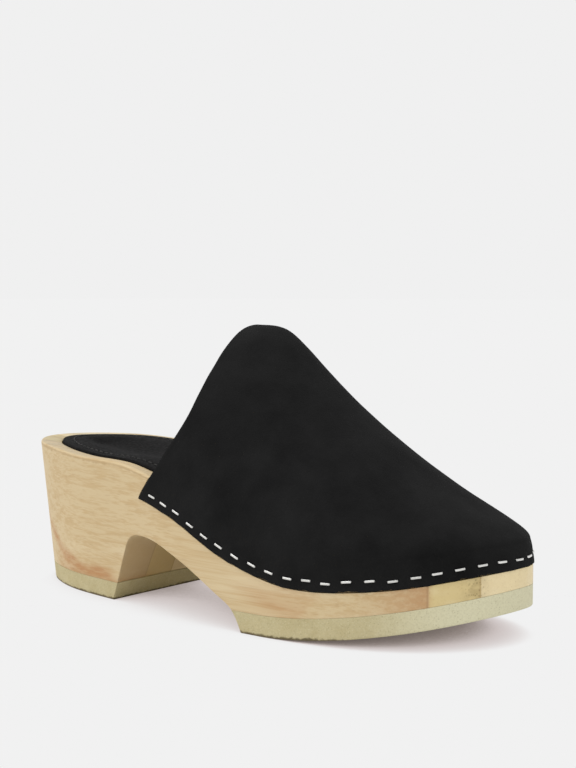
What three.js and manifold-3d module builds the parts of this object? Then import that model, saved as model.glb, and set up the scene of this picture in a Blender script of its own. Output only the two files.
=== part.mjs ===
// A heeled wooden clog for the right foot, in millimetres: a one-piece wooden sole with its heel, a rubber
// tread under the forefoot and a rubber lift under the heel, a leather vamp stapled round the edge of the
// wood, and a leather sock on the footbed. x runs from the back of the heel to the toe, y to the inner side
// of the foot and z up from the floor. At the end the finished clog is centred over its own footprint.
import * as THREE from "three";
import { mergeVertices } from "three/addons/utils/BufferGeometryUtils.js";
import Module from "manifold-3d";

const wasm = await Module();
wasm.setup();

// The wooden sole
const SOLE_LENGTH = 250;
const SOLE_WIDTH = 92; // across the ball of the foot
const HEEL_HEIGHT = 63.6; // floor to the rim at the back
const EDGE_ROUND = 1.2; // rounding of the rim
const RIM_WIDTH = 7.6; // bare wood beside the sock
const RIM_BACK_EXTRA = 2.4; // and this much more behind it
const RIM_INNER_TRIM = 3.4; // and this much less on the inner side, ahead of the heel's back
const RIM_FALL = 0.6; // from the edge of the wood in to the sock
const RECESS = 2.3; // step down from the rim to the footbed
const BED_DEPTH = 2.4; // hollow of the footbed
const HEEL_BACK_TAPER = 6.6; // how far the back of the heel is drawn in at the floor
const HEEL_SIDE_TAPER = 4.8;
const HEEL_SIDE_FROM = 45; // where the taper of the sides starts
const TAPER_FADE = 75; // the taper fades from here
const TAPER_END = 150; // to upright sides here

// The underside
const ARCH_HEIGHT = 30.8;
const LIFT_THICKNESS = 7.6;
const TREAD_THICKNESS = 8;
const SPRING_START = 166; // ahead of this the tread leaves the floor
const TOE_SPRING = 13.2;
const SPRING_POWER = 1.7;
const GLUE_LINE = 0.3;

// The vamp
const VAMP_WALL = 1.8;
const VAMP_PROUD = 0.4; // outer face beyond the side of the wood
const VAMP_HEIGHT = 117.5; // floor to the top of the throat
const VAMP_OVERLAP = 11.3; // how far it reaches down the side of the wood
const SEAT_CLEARANCE = 0.4; // between the vamp and its rabbet
const THROAT_CLEARANCE = 0.7; // behind its back edges
const RIM_EASE = 4; // chamfer of the wood under the vamp
const TOE_LEAN = 1.6; // how far the front of the toe leans back at the rim
const TOE_LEAN_START = 205;
const TOE_DEPTH = 25; // from the tip of the toe to the front end of the ridge
const TOE_PULL_START = 120; // ahead of this the ridge lags behind the outline
const TOE_PULL_POWER = 1.6;

// The sock
const SOCK_THICKNESS = 3;
const SOCK_ROUND = 0.9;
const SOCK_CLEARANCE = 0.3; // between its edge and the rim

// The staples
const STAPLE_COUNT = 41;
const STAPLE_LENGTH = 3.6;
const STAPLE_WIDTH = 0.85;
const STAPLE_HEIGHT = 0.6;
const STAPLE_LIFT = 3.5; // above the lower edge of the vamp
const STAPLE_MARGIN = 6.3; // from the back corners of the vamp
const STAPLE_CLEARANCE = 0.3;

// How finely the curved faces are cut
const OUTLINE_STEPS = 4; // between two rows of the outline
const FOOTBED_RINGS = 3;
const ARCH_STEPS = 30;
const SPRING_STEPS = 14;
const VAMP_COLUMNS = 28; // on each side, from the throat to the toe
const FOOT_ROWS = 2; // on the side of the wood
const VAMP_ROWS = 12; // from the rim to the ridge
const FAR = 40; // overshoot of the shapes that cut

// The outline of the wood from above: along is a share of SOLE_LENGTH, outer and inner are shares of
// SOLE_WIDTH from the axis of the heel to either side. It turns round at the back of the heel and at the
// tip of the toe.
const OUTLINE = [
  { along: 0, outer: 0, inner: 0 },
  { along: 0.006, outer: 0.092, inner: 0.092 },
  { along: 0.028, outer: 0.184, inner: 0.19 },
  { along: 0.08, outer: 0.296, inner: 0.302 },
  { along: 0.18, outer: 0.4, inner: 0.375 },
  { along: 0.34, outer: 0.462, inner: 0.362 },
  { along: 0.5, outer: 0.508, inner: 0.37 },
  { along: 0.63, outer: 0.5, inner: 0.434 },
  { along: 0.73, outer: 0.484, inner: 0.484 },
  { along: 0.825, outer: 0.426, inner: 0.492 },
  { along: 0.912, outer: 0.303, inner: 0.424 },
  { along: 0.968, outer: 0.137, inner: 0.306 },
  { along: 0.994, outer: -0.01, inner: 0.189 },
  { along: 1, outer: -0.11, inner: 0.11 },
];

// The top edge of the wood: up is its height above the floor as a share of HEEL_HEIGHT, lap how far the vamp
// reaches down from it as a share of VAMP_OVERLAP.
const RIM = [
  { along: 0, up: 1, lap: 1 },
  { along: 0.12, up: 0.987, lap: 1 },
  { along: 0.24, up: 0.957, lap: 1 },
  { along: 0.36, up: 0.938, lap: 1 },
  { along: 0.48, up: 0.824, lap: 1 },
  { along: 0.6, up: 0.613, lap: 1 },
  { along: 0.72, up: 0.502, lap: 1 },
  { along: 0.86, up: 0.526, lap: 0.97 },
  { along: 1, up: 0.602, lap: 0.8 },
];

// The underside from the heel to the ball of the foot: along is a share of SOLE_LENGTH, up of ARCH_HEIGHT.
const ARCH = [
  { along: 0.302, up: 0 },
  { along: 0.319, up: 0.285 },
  { along: 0.341, up: 0.66 },
  { along: 0.358, up: 0.9 },
  { along: 0.376, up: 0.985 },
  { along: 0.4, up: 1 },
  { along: 0.431, up: 0.97 },
  { along: 0.466, up: 0.885 },
  { along: 0.52, up: 0.71 },
  { along: 0.576, up: 0.46 },
  { along: 0.612, up: 0.275 },
  { along: 0.632, up: 0 },
];

// The ridge of the vamp: up is its height as a share of VAMP_HEIGHT, inward its place towards the inner side
// as a share of SOLE_WIDTH, rise and reach are how full the section is at its side and at its top.
const RIDGE = [
  { along: 0.4, up: 1, inward: 0.06, rise: 0.4, reach: 0.52 },
  { along: 0.485, up: 1, inward: 0.065, rise: 0.4, reach: 0.52 },
  { along: 0.535, up: 0.99, inward: 0.07, rise: 0.4, reach: 0.52 },
  { along: 0.57, up: 0.94, inward: 0.07, rise: 0.4, reach: 0.5 },
  { along: 0.61, up: 0.862, inward: 0.075, rise: 0.4, reach: 0.48 },
  { along: 0.67, up: 0.754, inward: 0.08, rise: 0.39, reach: 0.45 },
  { along: 0.75, up: 0.625, inward: 0.09, rise: 0.36, reach: 0.42 },
  { along: 0.83, up: 0.515, inward: 0.095, rise: 0.3, reach: 0.39 },
  { along: 0.9, up: 0.431, inward: 0.1, rise: 0.3, reach: 0.38 },
  { along: 0.95, up: 0.366, inward: 0.1, rise: 0.3, reach: 0.38 },
];

// The throat of the vamp seen from the side: up is a share of VAMP_HEIGHT, along a share of SOLE_LENGTH.
const THROAT = [
  { up: 0.4, along: 0.398 },
  { up: 0.5, along: 0.44 },
  { up: 0.6, along: 0.472 },
  { up: 0.68, along: 0.489 },
  { up: 0.77, along: 0.4965 },
  { up: 0.85, along: 0.4985 },
  { up: 0.91, along: 0.496 },
  { up: 0.96, along: 0.491 },
  { up: 1, along: 0.483 },
];

// The value of a column of a table where its key column has a given value, on a smooth curve through
// the rows.
function smooth(table, keyColumn, column, key) {
  const last = table.length - 1;
  const held = THREE.MathUtils.clamp(key, table[0][keyColumn], table[last][keyColumn]);
  const i = Math.max(0, table.findIndex((row) => row[keyColumn] >= held) - 1);
  const step = (name, a, b) => table[b][name] - table[a][name];
  const slope = (a, b) => step(column, a, b) / step(keyColumn, a, b);
  const tangent = (j) => slope(Math.max(0, j - 1), Math.min(last, j + 1));
  const gap = step(keyColumn, i, i + 1);
  const s = (held - table[i][keyColumn]) / gap;
  const start = (1 + 2 * s) * (1 - s) ** 2 * table[i][column] + s * (1 - s) ** 2 * gap * tangent(i);
  const end = s * s * (3 - 2 * s) * table[i + 1][column] - s * s * (1 - s) * gap * tangent(i + 1);
  return start + end;
}

// The shape of the last

const OUTER = -1;
const INNER = 1;

const asPoint = (r) => new THREE.Vector3(r.along * SOLE_LENGTH, r.outer * SOLE_WIDTH, r.inner * SOLE_WIDTH);
const asMirrored = (r) => asPoint({ along: r.along, outer: -r.inner, inner: -r.outer });
const outlineCurve = new THREE.CatmullRomCurve3(
  [asMirrored(OUTLINE[1]), ...OUTLINE.map(asPoint), asMirrored(OUTLINE.at(-2))],
  false,
  "centripetal",
);

// A station is 0 at the back of the heel and 1 at the tip of the toe.
const curveShare = (station) => (1 + station * (OUTLINE.length - 1)) / (OUTLINE.length + 1);
const alongAt = (station) => outlineCurve.getPoint(curveShare(station)).x;

// The point of the outline at a station of one side, moved in by inset, at height z.
function outlinePoint(side, station, inset, z) {
  const p = outlineCurve.getPoint(curveShare(station));
  const t = outlineCurve.getTangent(curveShare(station));
  const half = side === OUTER ? p.y : p.z;
  const run = new THREE.Vector2(t.x, side * (side === OUTER ? t.y : t.z)).normalize();
  return new THREE.Vector3(p.x + side * run.y * inset, side * half - side * run.x * inset, z);
}

const rimHeight = (x) => HEEL_HEIGHT * smooth(RIM, "along", "up", x / SOLE_LENGTH);
const seatHeight = (x) => rimHeight(x) - VAMP_OVERLAP * smooth(RIM, "along", "lap", x / SOLE_LENGTH);
const toeLean = (x) => TOE_LEAN * THREE.MathUtils.smoothstep(x, TOE_LEAN_START, SOLE_LENGTH);

// How far the side of the wood is drawn in at height z.
function taper(x, z) {
  const atFloor = THREE.MathUtils.lerp(
    HEEL_BACK_TAPER,
    HEEL_SIDE_TAPER,
    THREE.MathUtils.smoothstep(x, 0, HEEL_SIDE_FROM),
  );
  const fade = 1 - THREE.MathUtils.smoothstep(x, TAPER_FADE, TAPER_END);
  return atFloor * fade * Math.max(0, 1 - z / rimHeight(x));
}

// The side of the wood at height z, moved in by inset.
const sidePoint = (side, station, inset, z) =>
  outlinePoint(side, station, inset + taper(alongAt(station), z), z);

// Solids

// Closes a geometry into a solid for joining and cutting.
function solidOf(geometry) {
  const bare = new THREE.BufferGeometry();
  bare.setAttribute("position", geometry.getAttribute("position"));
  bare.setIndex(geometry.index);
  const welded = mergeVertices(bare, 1e-4);
  return new wasm.Manifold(
    new wasm.Mesh({
      numProp: 3,
      vertProperties: new Float32Array(welded.getAttribute("position").array),
      triVerts: new Uint32Array(welded.index.array),
    }),
  );
}

function geometryOf(solid) {
  const mesh = solid.getMesh();
  const geometry = new THREE.BufferGeometry();
  geometry.setAttribute("position", new THREE.BufferAttribute(mesh.vertProperties, 3));
  geometry.setIndex(new THREE.BufferAttribute(mesh.triVerts, 1));
  return geometry;
}

// A surface through rows of points of equal length. closed joins the end of each row to its start.
function surfaceOf(rows, closed) {
  const points = rows.flat();
  const width = rows[0].length;
  const index = [];
  const add = (a, b, c) => {
    const apart = (p, q) => points[p].distanceTo(points[q]) > 1e-3;
    if (apart(a, b) && apart(b, c) && apart(c, a)) index.push(a, b, c);
  };
  for (let r = 0; r + 1 < rows.length; r += 1) {
    for (let c = 0; c < width - (closed ? 0 : 1); c += 1) {
      const next = (c + 1) % width;
      const corners = [r * width + c, r * width + next, (r + 1) * width + next, (r + 1) * width + c];
      add(corners[0], corners[1], corners[2]);
      add(corners[0], corners[2], corners[3]);
    }
  }
  const geometry = new THREE.BufferGeometry().setFromPoints(points);
  geometry.setIndex(index);
  return mergeVertices(geometry, 1e-3);
}

// A side view as a solid right across the shoe.
function acrossShoe(points) {
  const options = { depth: 2 * SOLE_WIDTH, bevelEnabled: false };
  const geometry = new THREE.ExtrudeGeometry(new THREE.Shape(points), options);
  geometry.rotateX(Math.PI / 2);
  geometry.translate(0, SOLE_WIDTH, 0);
  return solidOf(geometry);
}

// The block that the wood, the lift and the tread are cut from

const SIDE_COLUMNS = (OUTLINE.length - 1) * OUTLINE_STEPS;
const SPINE_START = 0.27; // stations between which the footbed has its lowest line
const SPINE_END = 0.77;

// The columns of a ring round the shoe: along the outer side to the toe and back along the inner side.
const ringColumns = Array.from({ length: 2 * SIDE_COLUMNS }, (_, c) => ({
  side: c <= SIDE_COLUMNS ? OUTER : INNER,
  station: Math.min(c, 2 * SIDE_COLUMNS - c) / SIDE_COLUMNS,
}));

function spinePoint(station) {
  const held = THREE.MathUtils.clamp(station, SPINE_START, SPINE_END);
  return outlinePoint(OUTER, held, 0, 0).add(outlinePoint(INNER, held, 0, 0)).multiplyScalar(0.5);
}

// The width of the bare rim. The two sides meet in one width at the back and at the toe.
function rimWidth({ side, station }) {
  const x = alongAt(station);
  const ahead = THREE.MathUtils.smoothstep(x, 0, HEEL_SIDE_FROM);
  const trim = side === INNER ? ahead * (1 - THREE.MathUtils.smoothstep(x, TAPER_END, TOE_LEAN_START)) : 0;
  return RIM_WIDTH + RIM_BACK_EXTRA * (1 - ahead) - RIM_INNER_TRIM * trim;
}

// A point over the footbed, at share 0 beside the rim and at 1 on its lowest line, drop below the rim there.
function footbedPoint(column, share, inset, drop) {
  const p = outlinePoint(column.side, column.station, rimWidth(column) + inset, 0);
  p.lerp(spinePoint(column.station), share);
  p.z = rimHeight(p.x) - RIM_FALL - BED_DEPTH * THREE.MathUtils.smoothstep(share, 0, 1) - drop;
  return p;
}

function makeBlock() {
  const level = (z) => ringColumns.map((c) => spinePoint(c.station).setZ(z));
  const side = (inset, drop) =>
    ringColumns.map((c) => {
      const z = rimHeight(alongAt(c.station)) - drop;
      return sidePoint(c.side, c.station, inset, z);
    });
  const bevel = EDGE_ROUND * (1 - Math.SQRT1_2);
  const rows = [
    level(-FAR),
    ringColumns.map((c) => sidePoint(c.side, c.station, 0, -FAR)),
    side(0, EDGE_ROUND),
    side(bevel, bevel),
    side(EDGE_ROUND, 0),
    ringColumns.map((c) => footbedPoint(c, 0, 0, 0)),
  ];
  for (let r = 0; r <= FOOTBED_RINGS; r += 1) {
    rows.push(ringColumns.map((c) => footbedPoint(c, r / FOOTBED_RINGS, 0, RECESS)));
  }
  return solidOf(surfaceOf(rows, true));
}

const springAt = (x) =>
  TOE_SPRING * (Math.max(0, x - SPRING_START) / (SOLE_LENGTH - SPRING_START)) ** SPRING_POWER;

// The line of the tread from below the arch to past the toe, raised by lift.
function springLine(lift) {
  const line = [new THREE.Vector2(ARCH.at(-2).along * SOLE_LENGTH - FAR / 2, lift)];
  for (let i = 0; i <= SPRING_STEPS; i += 1) {
    const x = THREE.MathUtils.lerp(SPRING_START, SOLE_LENGTH, i / SPRING_STEPS);
    line.push(new THREE.Vector2(x, springAt(x) + lift));
  }
  line.push(new THREE.Vector2(SOLE_LENGTH + FAR, springAt(SOLE_LENGTH + FAR) + lift));
  return line;
}

function makeArch() {
  const rows = ARCH.map((r) => new THREE.Vector2(r.along * SOLE_LENGTH, r.up * ARCH_HEIGHT));
  const curve = new THREE.SplineCurve(rows).getPoints(ARCH_STEPS);
  const below = [new THREE.Vector2(curve.at(-1).x, -FAR), new THREE.Vector2(curve[0].x, -FAR)];
  return acrossShoe([...curve, ...below]);
}

// The vamp

// The point of the ridge that the column from x on the outline runs up to.
function ridgePoint(x) {
  const ahead = Math.max(0, x - TOE_PULL_START) / (SOLE_LENGTH - TOE_PULL_START);
  const along = (x - TOE_DEPTH * ahead ** TOE_PULL_POWER) / SOLE_LENGTH;
  const column = (name, at) => smooth(RIDGE, "along", name, at);
  const nearby = 0.004;
  const rise = VAMP_HEIGHT * (column("up", along + nearby) - column("up", along - nearby));
  return {
    point: new THREE.Vector3(
      along * SOLE_LENGTH,
      column("inward", along) * SOLE_WIDTH,
      column("up", along) * VAMP_HEIGHT,
    ),
    slope: rise / (2 * nearby * SOLE_LENGTH),
    rise: column("rise", along),
    reach: column("reach", along),
  };
}

// A point of the outer face of the vamp. row is 0 at its lower edge, 1 at the rim of the wood and 2 on
// the ridge.
function vampPoint(side, station, row) {
  const x = alongAt(station);
  if (row <= 1) {
    const z = THREE.MathUtils.lerp(seatHeight(x), rimHeight(x), row);
    return sidePoint(side, station, toeLean(x) * row ** 2 - VAMP_PROUD, z);
  }
  const foot = vampPoint(side, station, 1);
  const ridge = ridgePoint(x);
  const height = ridge.point.z - foot.z;
  const flank = foot.clone().setZ(foot.z + ridge.rise * height);
  const brow = ridge.point.clone().lerp(foot, ridge.reach);
  brow.z = ridge.point.z + ridge.slope * (brow.x - ridge.point.x);
  return new THREE.CubicBezierCurve3(foot, flank, brow, ridge.point).getPoint(row - 1);
}

// The station at which the throat crosses a row.
function throatStation(side, row) {
  let low = 0;
  let high = 1;
  for (let i = 0; i < 30; i += 1) {
    const middle = (low + high) / 2;
    const p = vampPoint(side, middle, row);
    if (p.x < SOLE_LENGTH * smooth(THROAT, "up", "along", p.z / VAMP_HEIGHT)) low = middle;
    else high = middle;
  }
  return high;
}

// The stations of one row of the vamp, from the outer throat round the toe to the inner throat.
function vampColumns(row) {
  const throat = { [OUTER]: throatStation(OUTER, row), [INNER]: throatStation(INNER, row) };
  return Array.from({ length: 2 * VAMP_COLUMNS + 1 }, (_, c) => {
    const side = c <= VAMP_COLUMNS ? OUTER : INNER;
    const share = Math.min(c, 2 * VAMP_COLUMNS - c) / VAMP_COLUMNS;
    return { side, station: THREE.MathUtils.lerp(throat[side], 1, share) };
  });
}

const vampRows = [
  ...Array.from({ length: FOOT_ROWS }, (_, r) => r / FOOT_ROWS),
  ...Array.from({ length: VAMP_ROWS + 1 }, (_, r) => 1 + r / VAMP_ROWS),
];

// The points round the open edge of a grid. A folded grid has both halves of its last row in one place.
function edgeOf(rows, folded) {
  const middle = rows.slice(1, -1);
  const last = rows.at(-1).slice().reverse();
  return [
    ...rows[0],
    ...middle.map((row) => row.at(-1)),
    ...(folded ? [last[0]] : last),
    ...middle.map((row) => row[0]).reverse(),
  ];
}

// A sheet between two grids of rows, closed round its edge.
function sheetOf(outerRows, innerRows, folded) {
  const faces = [
    surfaceOf(outerRows, false),
    surfaceOf(innerRows.map((row) => row.slice().reverse()), false),
    surfaceOf([edgeOf(innerRows, folded), edgeOf(outerRows, folded)], true),
  ];
  const corners = faces.flatMap((face) => Array.from(face.toNonIndexed().getAttribute("position").array));
  const geometry = new THREE.BufferGeometry();
  geometry.setAttribute("position", new THREE.Float32BufferAttribute(corners, 3));
  return mergeVertices(geometry, 1e-3);
}

// The grid moved along its own normals, so that a wall keeps one thickness.
function offsetRows(rows, distance) {
  const surface = surfaceOf(rows, false);
  surface.computeVertexNormals();
  const position = surface.getAttribute("position");
  const vertices = Array.from({ length: position.count }, (_, i) =>
    new THREE.Vector3().fromBufferAttribute(position, i),
  );
  const nearest = (p) => {
    const gaps = vertices.map((v) => v.distanceToSquared(p));
    return gaps.indexOf(Math.min(...gaps));
  };
  return rows.map((row) =>
    row.map((p) => {
      const i = nearest(p);
      const n = new THREE.Vector3().fromBufferAttribute(surface.getAttribute("normal"), i);
      return vertices[i].clone().addScaledVector(n, distance);
    }),
  );
}

function makeVamp() {
  const outerRows = vampRows.map((row) => vampColumns(row).map((c) => vampPoint(c.side, c.station, row)));
  return sheetOf(outerRows, offsetRows(outerRows, -VAMP_WALL), true);
}

// The space in the side of the wood that the foot of the vamp lies in, with clearance all round. The edge
// of the wood is eased where the vamp turns in over it.
function makeRabbet() {
  const depth = VAMP_WALL - VAMP_PROUD + SEAT_CLEARANCE;
  const levels = [
    { row: 0, lift: -SEAT_CLEARANCE, inset: depth },
    { row: 0.5, lift: 0, inset: depth },
    { row: 1 - RIM_EASE / VAMP_OVERLAP, lift: 0, inset: depth },
    { row: 1, lift: 0, inset: depth + RIM_EASE },
    { row: 1, lift: VAMP_OVERLAP, inset: depth + RIM_EASE },
  ];
  const grid = (insetOf) =>
    levels.map((level) =>
      vampColumns(level.row).map(({ side, station }, c) => {
        const millimetre = 1e-3 / (alongAt(station) - alongAt(station - 1e-3));
        const back = c === 0 || c === 2 * VAMP_COLUMNS ? THROAT_CLEARANCE * millimetre : 0;
        const x = alongAt(station);
        const z = THREE.MathUtils.lerp(seatHeight(x), rimHeight(x), level.row) + level.lift;
        return sidePoint(side, station - back, insetOf(level) + toeLean(x) * level.row ** 2, z);
      }),
    );
  return solidOf(sheetOf(grid(() => -VAMP_OVERLAP), grid((level) => level.inset), false));
}

// The sock on the footbed, with a rounded upper edge.
function makeSock() {
  const ring = (share, inset, lift) =>
    ringColumns.map((c) => footbedPoint(c, share, SOCK_CLEARANCE + inset, RECESS - GLUE_LINE - lift));
  const shares = Array.from({ length: FOOTBED_RINGS + 1 }, (_, r) => r / FOOTBED_RINGS);
  const bevel = SOCK_ROUND * (1 - Math.SQRT1_2);
  const rows = [
    ...shares.slice().reverse().map((share) => ring(share, 0, 0)),
    ring(0, 0, SOCK_THICKNESS - SOCK_ROUND),
    ring(0, bevel, SOCK_THICKNESS - bevel),
    ring(0, SOCK_ROUND, SOCK_THICKNESS),
    ...shares.slice(1).map((share) => ring(share, SOCK_ROUND, SOCK_THICKNESS)),
  ];
  return surfaceOf(rows, true);
}

// The staple crowns, evenly spaced along the foot of the vamp, each lying along its face.
function makeStaples() {
  const row = STAPLE_LIFT / VAMP_OVERLAP;
  const line = vampColumns(row).map(({ side, station }) => {
    const x = alongAt(station);
    const standOff = VAMP_PROUD + STAPLE_CLEARANCE + STAPLE_HEIGHT / 2 - toeLean(x) * row ** 2;
    return sidePoint(side, station, -standOff, seatHeight(x) + STAPLE_LIFT);
  });
  const curve = new THREE.CatmullRomCurve3(line, false, "centripetal");
  const length = curve.getLength();
  return Array.from({ length: STAPLE_COUNT }, (_, i) => {
    const at = THREE.MathUtils.lerp(STAPLE_MARGIN, length - STAPLE_MARGIN, i / (STAPLE_COUNT - 1)) / length;
    const run = curve.getTangentAt(at);
    const out = new THREE.Vector3(run.y, -run.x, 0).normalize();
    const up = new THREE.Vector3().crossVectors(run, out).negate();
    const geometry = new THREE.BoxGeometry(STAPLE_LENGTH, STAPLE_WIDTH, STAPLE_HEIGHT);
    geometry.applyMatrix4(new THREE.Matrix4().makeBasis(run, up, out).setPosition(curve.getPointAt(at)));
    return geometry;
  });
}

// The pieces

const WOOD = new THREE.MeshStandardMaterial({ color: 0xc9a67c, roughness: 0.6, metalness: 0 });
const RUBBER = new THREE.MeshStandardMaterial({ color: 0xb9b79a, roughness: 0.85, metalness: 0 });
const SUEDE = new THREE.MeshStandardMaterial({ color: 0x232224, roughness: 0.95, metalness: 0 });
const LEATHER = new THREE.MeshStandardMaterial({ color: 0x1c1b1c, roughness: 0.5, metalness: 0 });
const STEEL = new THREE.MeshStandardMaterial({ color: 0xb4b2ac, roughness: 0.35, metalness: 1 });

const block = makeBlock();
const arch = makeArch();

const liftFront = ARCH[1].along * SOLE_LENGTH + FAR / 2;
const woodSide = acrossShoe([
  new THREE.Vector2(-FAR, LIFT_THICKNESS + GLUE_LINE),
  new THREE.Vector2(liftFront, LIFT_THICKNESS + GLUE_LINE),
  ...springLine(TREAD_THICKNESS + GLUE_LINE),
  new THREE.Vector2(SOLE_LENGTH + FAR, 3 * HEEL_HEIGHT),
  new THREE.Vector2(-FAR, 3 * HEEL_HEIGHT),
]);
const treadSide = acrossShoe([...springLine(0), ...springLine(TREAD_THICKNESS).reverse()]);
const liftSide = acrossShoe([
  new THREE.Vector2(-FAR, 0),
  new THREE.Vector2(liftFront, 0),
  new THREE.Vector2(liftFront, LIFT_THICKNESS),
  new THREE.Vector2(-FAR, LIFT_THICKNESS),
]);

const clog = new THREE.Group();
clog.name = "wooden_clog";

function addPiece(name, geometry, material) {
  const mesh = new THREE.Mesh(geometry, material);
  mesh.name = name;
  clog.add(mesh);
}

addPiece("wooden_base", geometryOf(block.intersect(woodSide).subtract(arch).subtract(makeRabbet())), WOOD);
addPiece("heel_lift", geometryOf(block.intersect(liftSide).subtract(arch)), RUBBER);
addPiece("forefoot_tread", geometryOf(block.intersect(treadSide).subtract(arch)), RUBBER);
addPiece("insole", makeSock(), LEATHER);
addPiece("upper", makeVamp(), SUEDE);
makeStaples().forEach((geometry, i) => {
  addPiece(`staple_${String(i + 1).padStart(2, "0")}`, geometry, STEEL);
});

// The footprint is centred on the origin, with the floor at z = 0.
const box = new THREE.Box3().setFromObject(clog);
const centre = box.getCenter(new THREE.Vector3());
clog.children.forEach((mesh) => mesh.geometry.translate(-centre.x, -centre.y, -box.min.z));

export default clog;
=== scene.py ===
"""A heeled wooden clog for the right foot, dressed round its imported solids.

The tables of the last give the outline of the wood, its rim, the arch and the ridge of the vamp. Each
sub-assembly is a class that builds its own meshes from them and dresses them in its finish. Lengths are in
metres, with x towards the toe, y to the inner side of the foot and z up from the floor.
"""

import logging
import math
from dataclasses import dataclass, field
from enum import Enum
from typing import Callable, Iterable, Sequence

import bmesh
import bpy
import numpy as np
from mathutils import Matrix, Vector, noise


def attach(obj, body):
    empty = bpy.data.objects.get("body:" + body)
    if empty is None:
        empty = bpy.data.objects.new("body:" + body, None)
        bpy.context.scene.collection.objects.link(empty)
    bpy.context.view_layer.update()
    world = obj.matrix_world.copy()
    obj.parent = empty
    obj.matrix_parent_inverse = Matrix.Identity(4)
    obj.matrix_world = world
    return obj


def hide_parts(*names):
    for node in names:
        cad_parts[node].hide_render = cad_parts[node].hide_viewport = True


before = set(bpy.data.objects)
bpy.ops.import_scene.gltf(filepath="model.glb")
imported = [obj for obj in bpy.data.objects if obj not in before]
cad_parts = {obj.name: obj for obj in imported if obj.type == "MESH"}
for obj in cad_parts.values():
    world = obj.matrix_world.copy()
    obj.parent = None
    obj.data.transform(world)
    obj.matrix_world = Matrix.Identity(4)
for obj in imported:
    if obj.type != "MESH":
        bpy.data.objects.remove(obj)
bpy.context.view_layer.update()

LOG = logging.getLogger("clog")
BODY = "root"
WELD = 1e-6

Table = dict[str, np.ndarray]
Colour = tuple[float, float, float, float]


class Slot(Enum):
    """The record's material slots."""

    WOOD = "wood"
    RUBBER = "rubber"
    SUEDE = "suede"
    SOCK = "sock_leather"
    STEEL = "staple_steel"


class Side(Enum):
    """The two sides of the shoe, as the sign of y."""

    OUTER = -1
    INNER = 1


# Numbers and tables


def table(columns: str, *rows: Sequence[float]) -> Table:
    """Makes a table with named columns.

    Args:
        columns: The names of the columns, with spaces between them.
        rows: The rows, each with one number for a column.

    Returns:
        The columns by name.
    """
    return dict(zip(columns.split(), np.array(rows, float).T))


def smooth(rows: Table, key: str, column: str, at: np.ndarray) -> np.ndarray:
    """Reads a column on a smooth curve through its rows.

    Args:
        rows: The table.
        key: The column that rises from row to row.
        column: The column to read.
        at: Values of the key.

    Returns:
        The values of the column there.
    """
    keys, values = rows[key], rows[column]
    held = np.clip(at, keys[0], keys[-1])
    i = np.clip(np.searchsorted(keys, held) - 1, 0, len(keys) - 2)
    order = np.arange(len(keys))
    below, above = np.maximum(order - 1, 0), np.minimum(order + 1, len(keys) - 1)
    tangent = (values[above] - values[below]) / (keys[above] - keys[below])
    gap = keys[i + 1] - keys[i]
    s = (held - keys[i]) / gap
    start = (1 + 2 * s) * (1 - s) ** 2 * values[i] + s * (1 - s) ** 2 * gap * tangent[i]
    end = s * s * (3 - 2 * s) * values[i + 1] - s * s * (1 - s) * gap * tangent[i + 1]
    return start + end


def smoothstep(value: np.ndarray, low: float, high: float) -> np.ndarray:
    """Returns 0 below low, 1 above high and a soft step between them."""
    share = np.clip((value - low) / (high - low), 0, 1)
    return share * share * (3 - 2 * share)


def bell(distance: np.ndarray, width: float) -> np.ndarray:
    """Returns 1 at no distance, falling to a third at width."""
    return np.exp(-((distance / width) ** 2))


def rough(points: np.ndarray, size: float, seed: float = 0.0) -> np.ndarray:
    """Gives smooth random values that belong to places.

    Args:
        points: The places, one in a row.
        size: The size of a bump.
        seed: Moves the pattern.

    Returns:
        A value from -1 to 1 for each place.
    """
    flat = points.reshape(-1, 3) / size + seed
    return np.array([noise.noise(Vector(p)) for p in flat]).reshape(points.shape[:-1])


def srgb(red: int, green: int, blue: int) -> Colour:
    """Turns a screen colour into the linear colour that a shader takes.

    Args:
        red: The red, from 0 to 255.
        green: The green.
        blue: The blue.

    Returns:
        The colour with an alpha of 1.
    """
    shares = [value / 255 for value in (red, green, blue)]
    linear = [s / 12.92 if s <= 0.04045 else ((s + 0.055) / 1.055) ** 2.4 for s in shares]
    return (*linear, 1.0)


# Meshes


def grid_faces(rows: int, columns: int, closed: bool) -> np.ndarray:
    """Lists the four corners of each face of a grid of points.

    Args:
        rows: The number of rows.
        columns: The number of points in a row.
        closed: Whether each row's end joins its start.

    Returns:
        One face in a row.
    """
    index = np.arange(rows * columns).reshape(rows, columns)
    if closed:
        index = np.hstack([index, index[:, :1]])
    corners = (index[:-1, :-1], index[:-1, 1:], index[1:, 1:], index[1:, :-1])
    return np.stack(corners, -1).reshape(-1, 4)


def make_piece(name: str, points: np.ndarray, faces: Iterable, crease: float = 35.0) -> bpy.types.Object:
    """Makes a welded mesh object with smooth faces between its creases.

    Args:
        name: The piece's name.
        points: The corners, one in a row.
        faces: The corners' numbers for each face.
        crease: Edges that turn by more degrees than this stay sharp.

    Returns:
        The object, in the scene.
    """
    mesh = bpy.data.meshes.new(name)
    mesh.from_pydata([tuple(p) for p in points.reshape(-1, 3)], [], [tuple(map(int, f)) for f in faces])
    work = bmesh.new()
    work.from_mesh(mesh)
    bmesh.ops.remove_doubles(work, verts=work.verts, dist=WELD)
    bmesh.ops.dissolve_degenerate(work, edges=work.edges, dist=WELD)
    bmesh.ops.recalc_face_normals(work, faces=work.faces)
    work.to_mesh(mesh)
    work.free()
    piece = bpy.data.objects.new(name, mesh)
    bpy.context.scene.collection.objects.link(piece)
    soften(piece, crease)
    return piece


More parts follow.
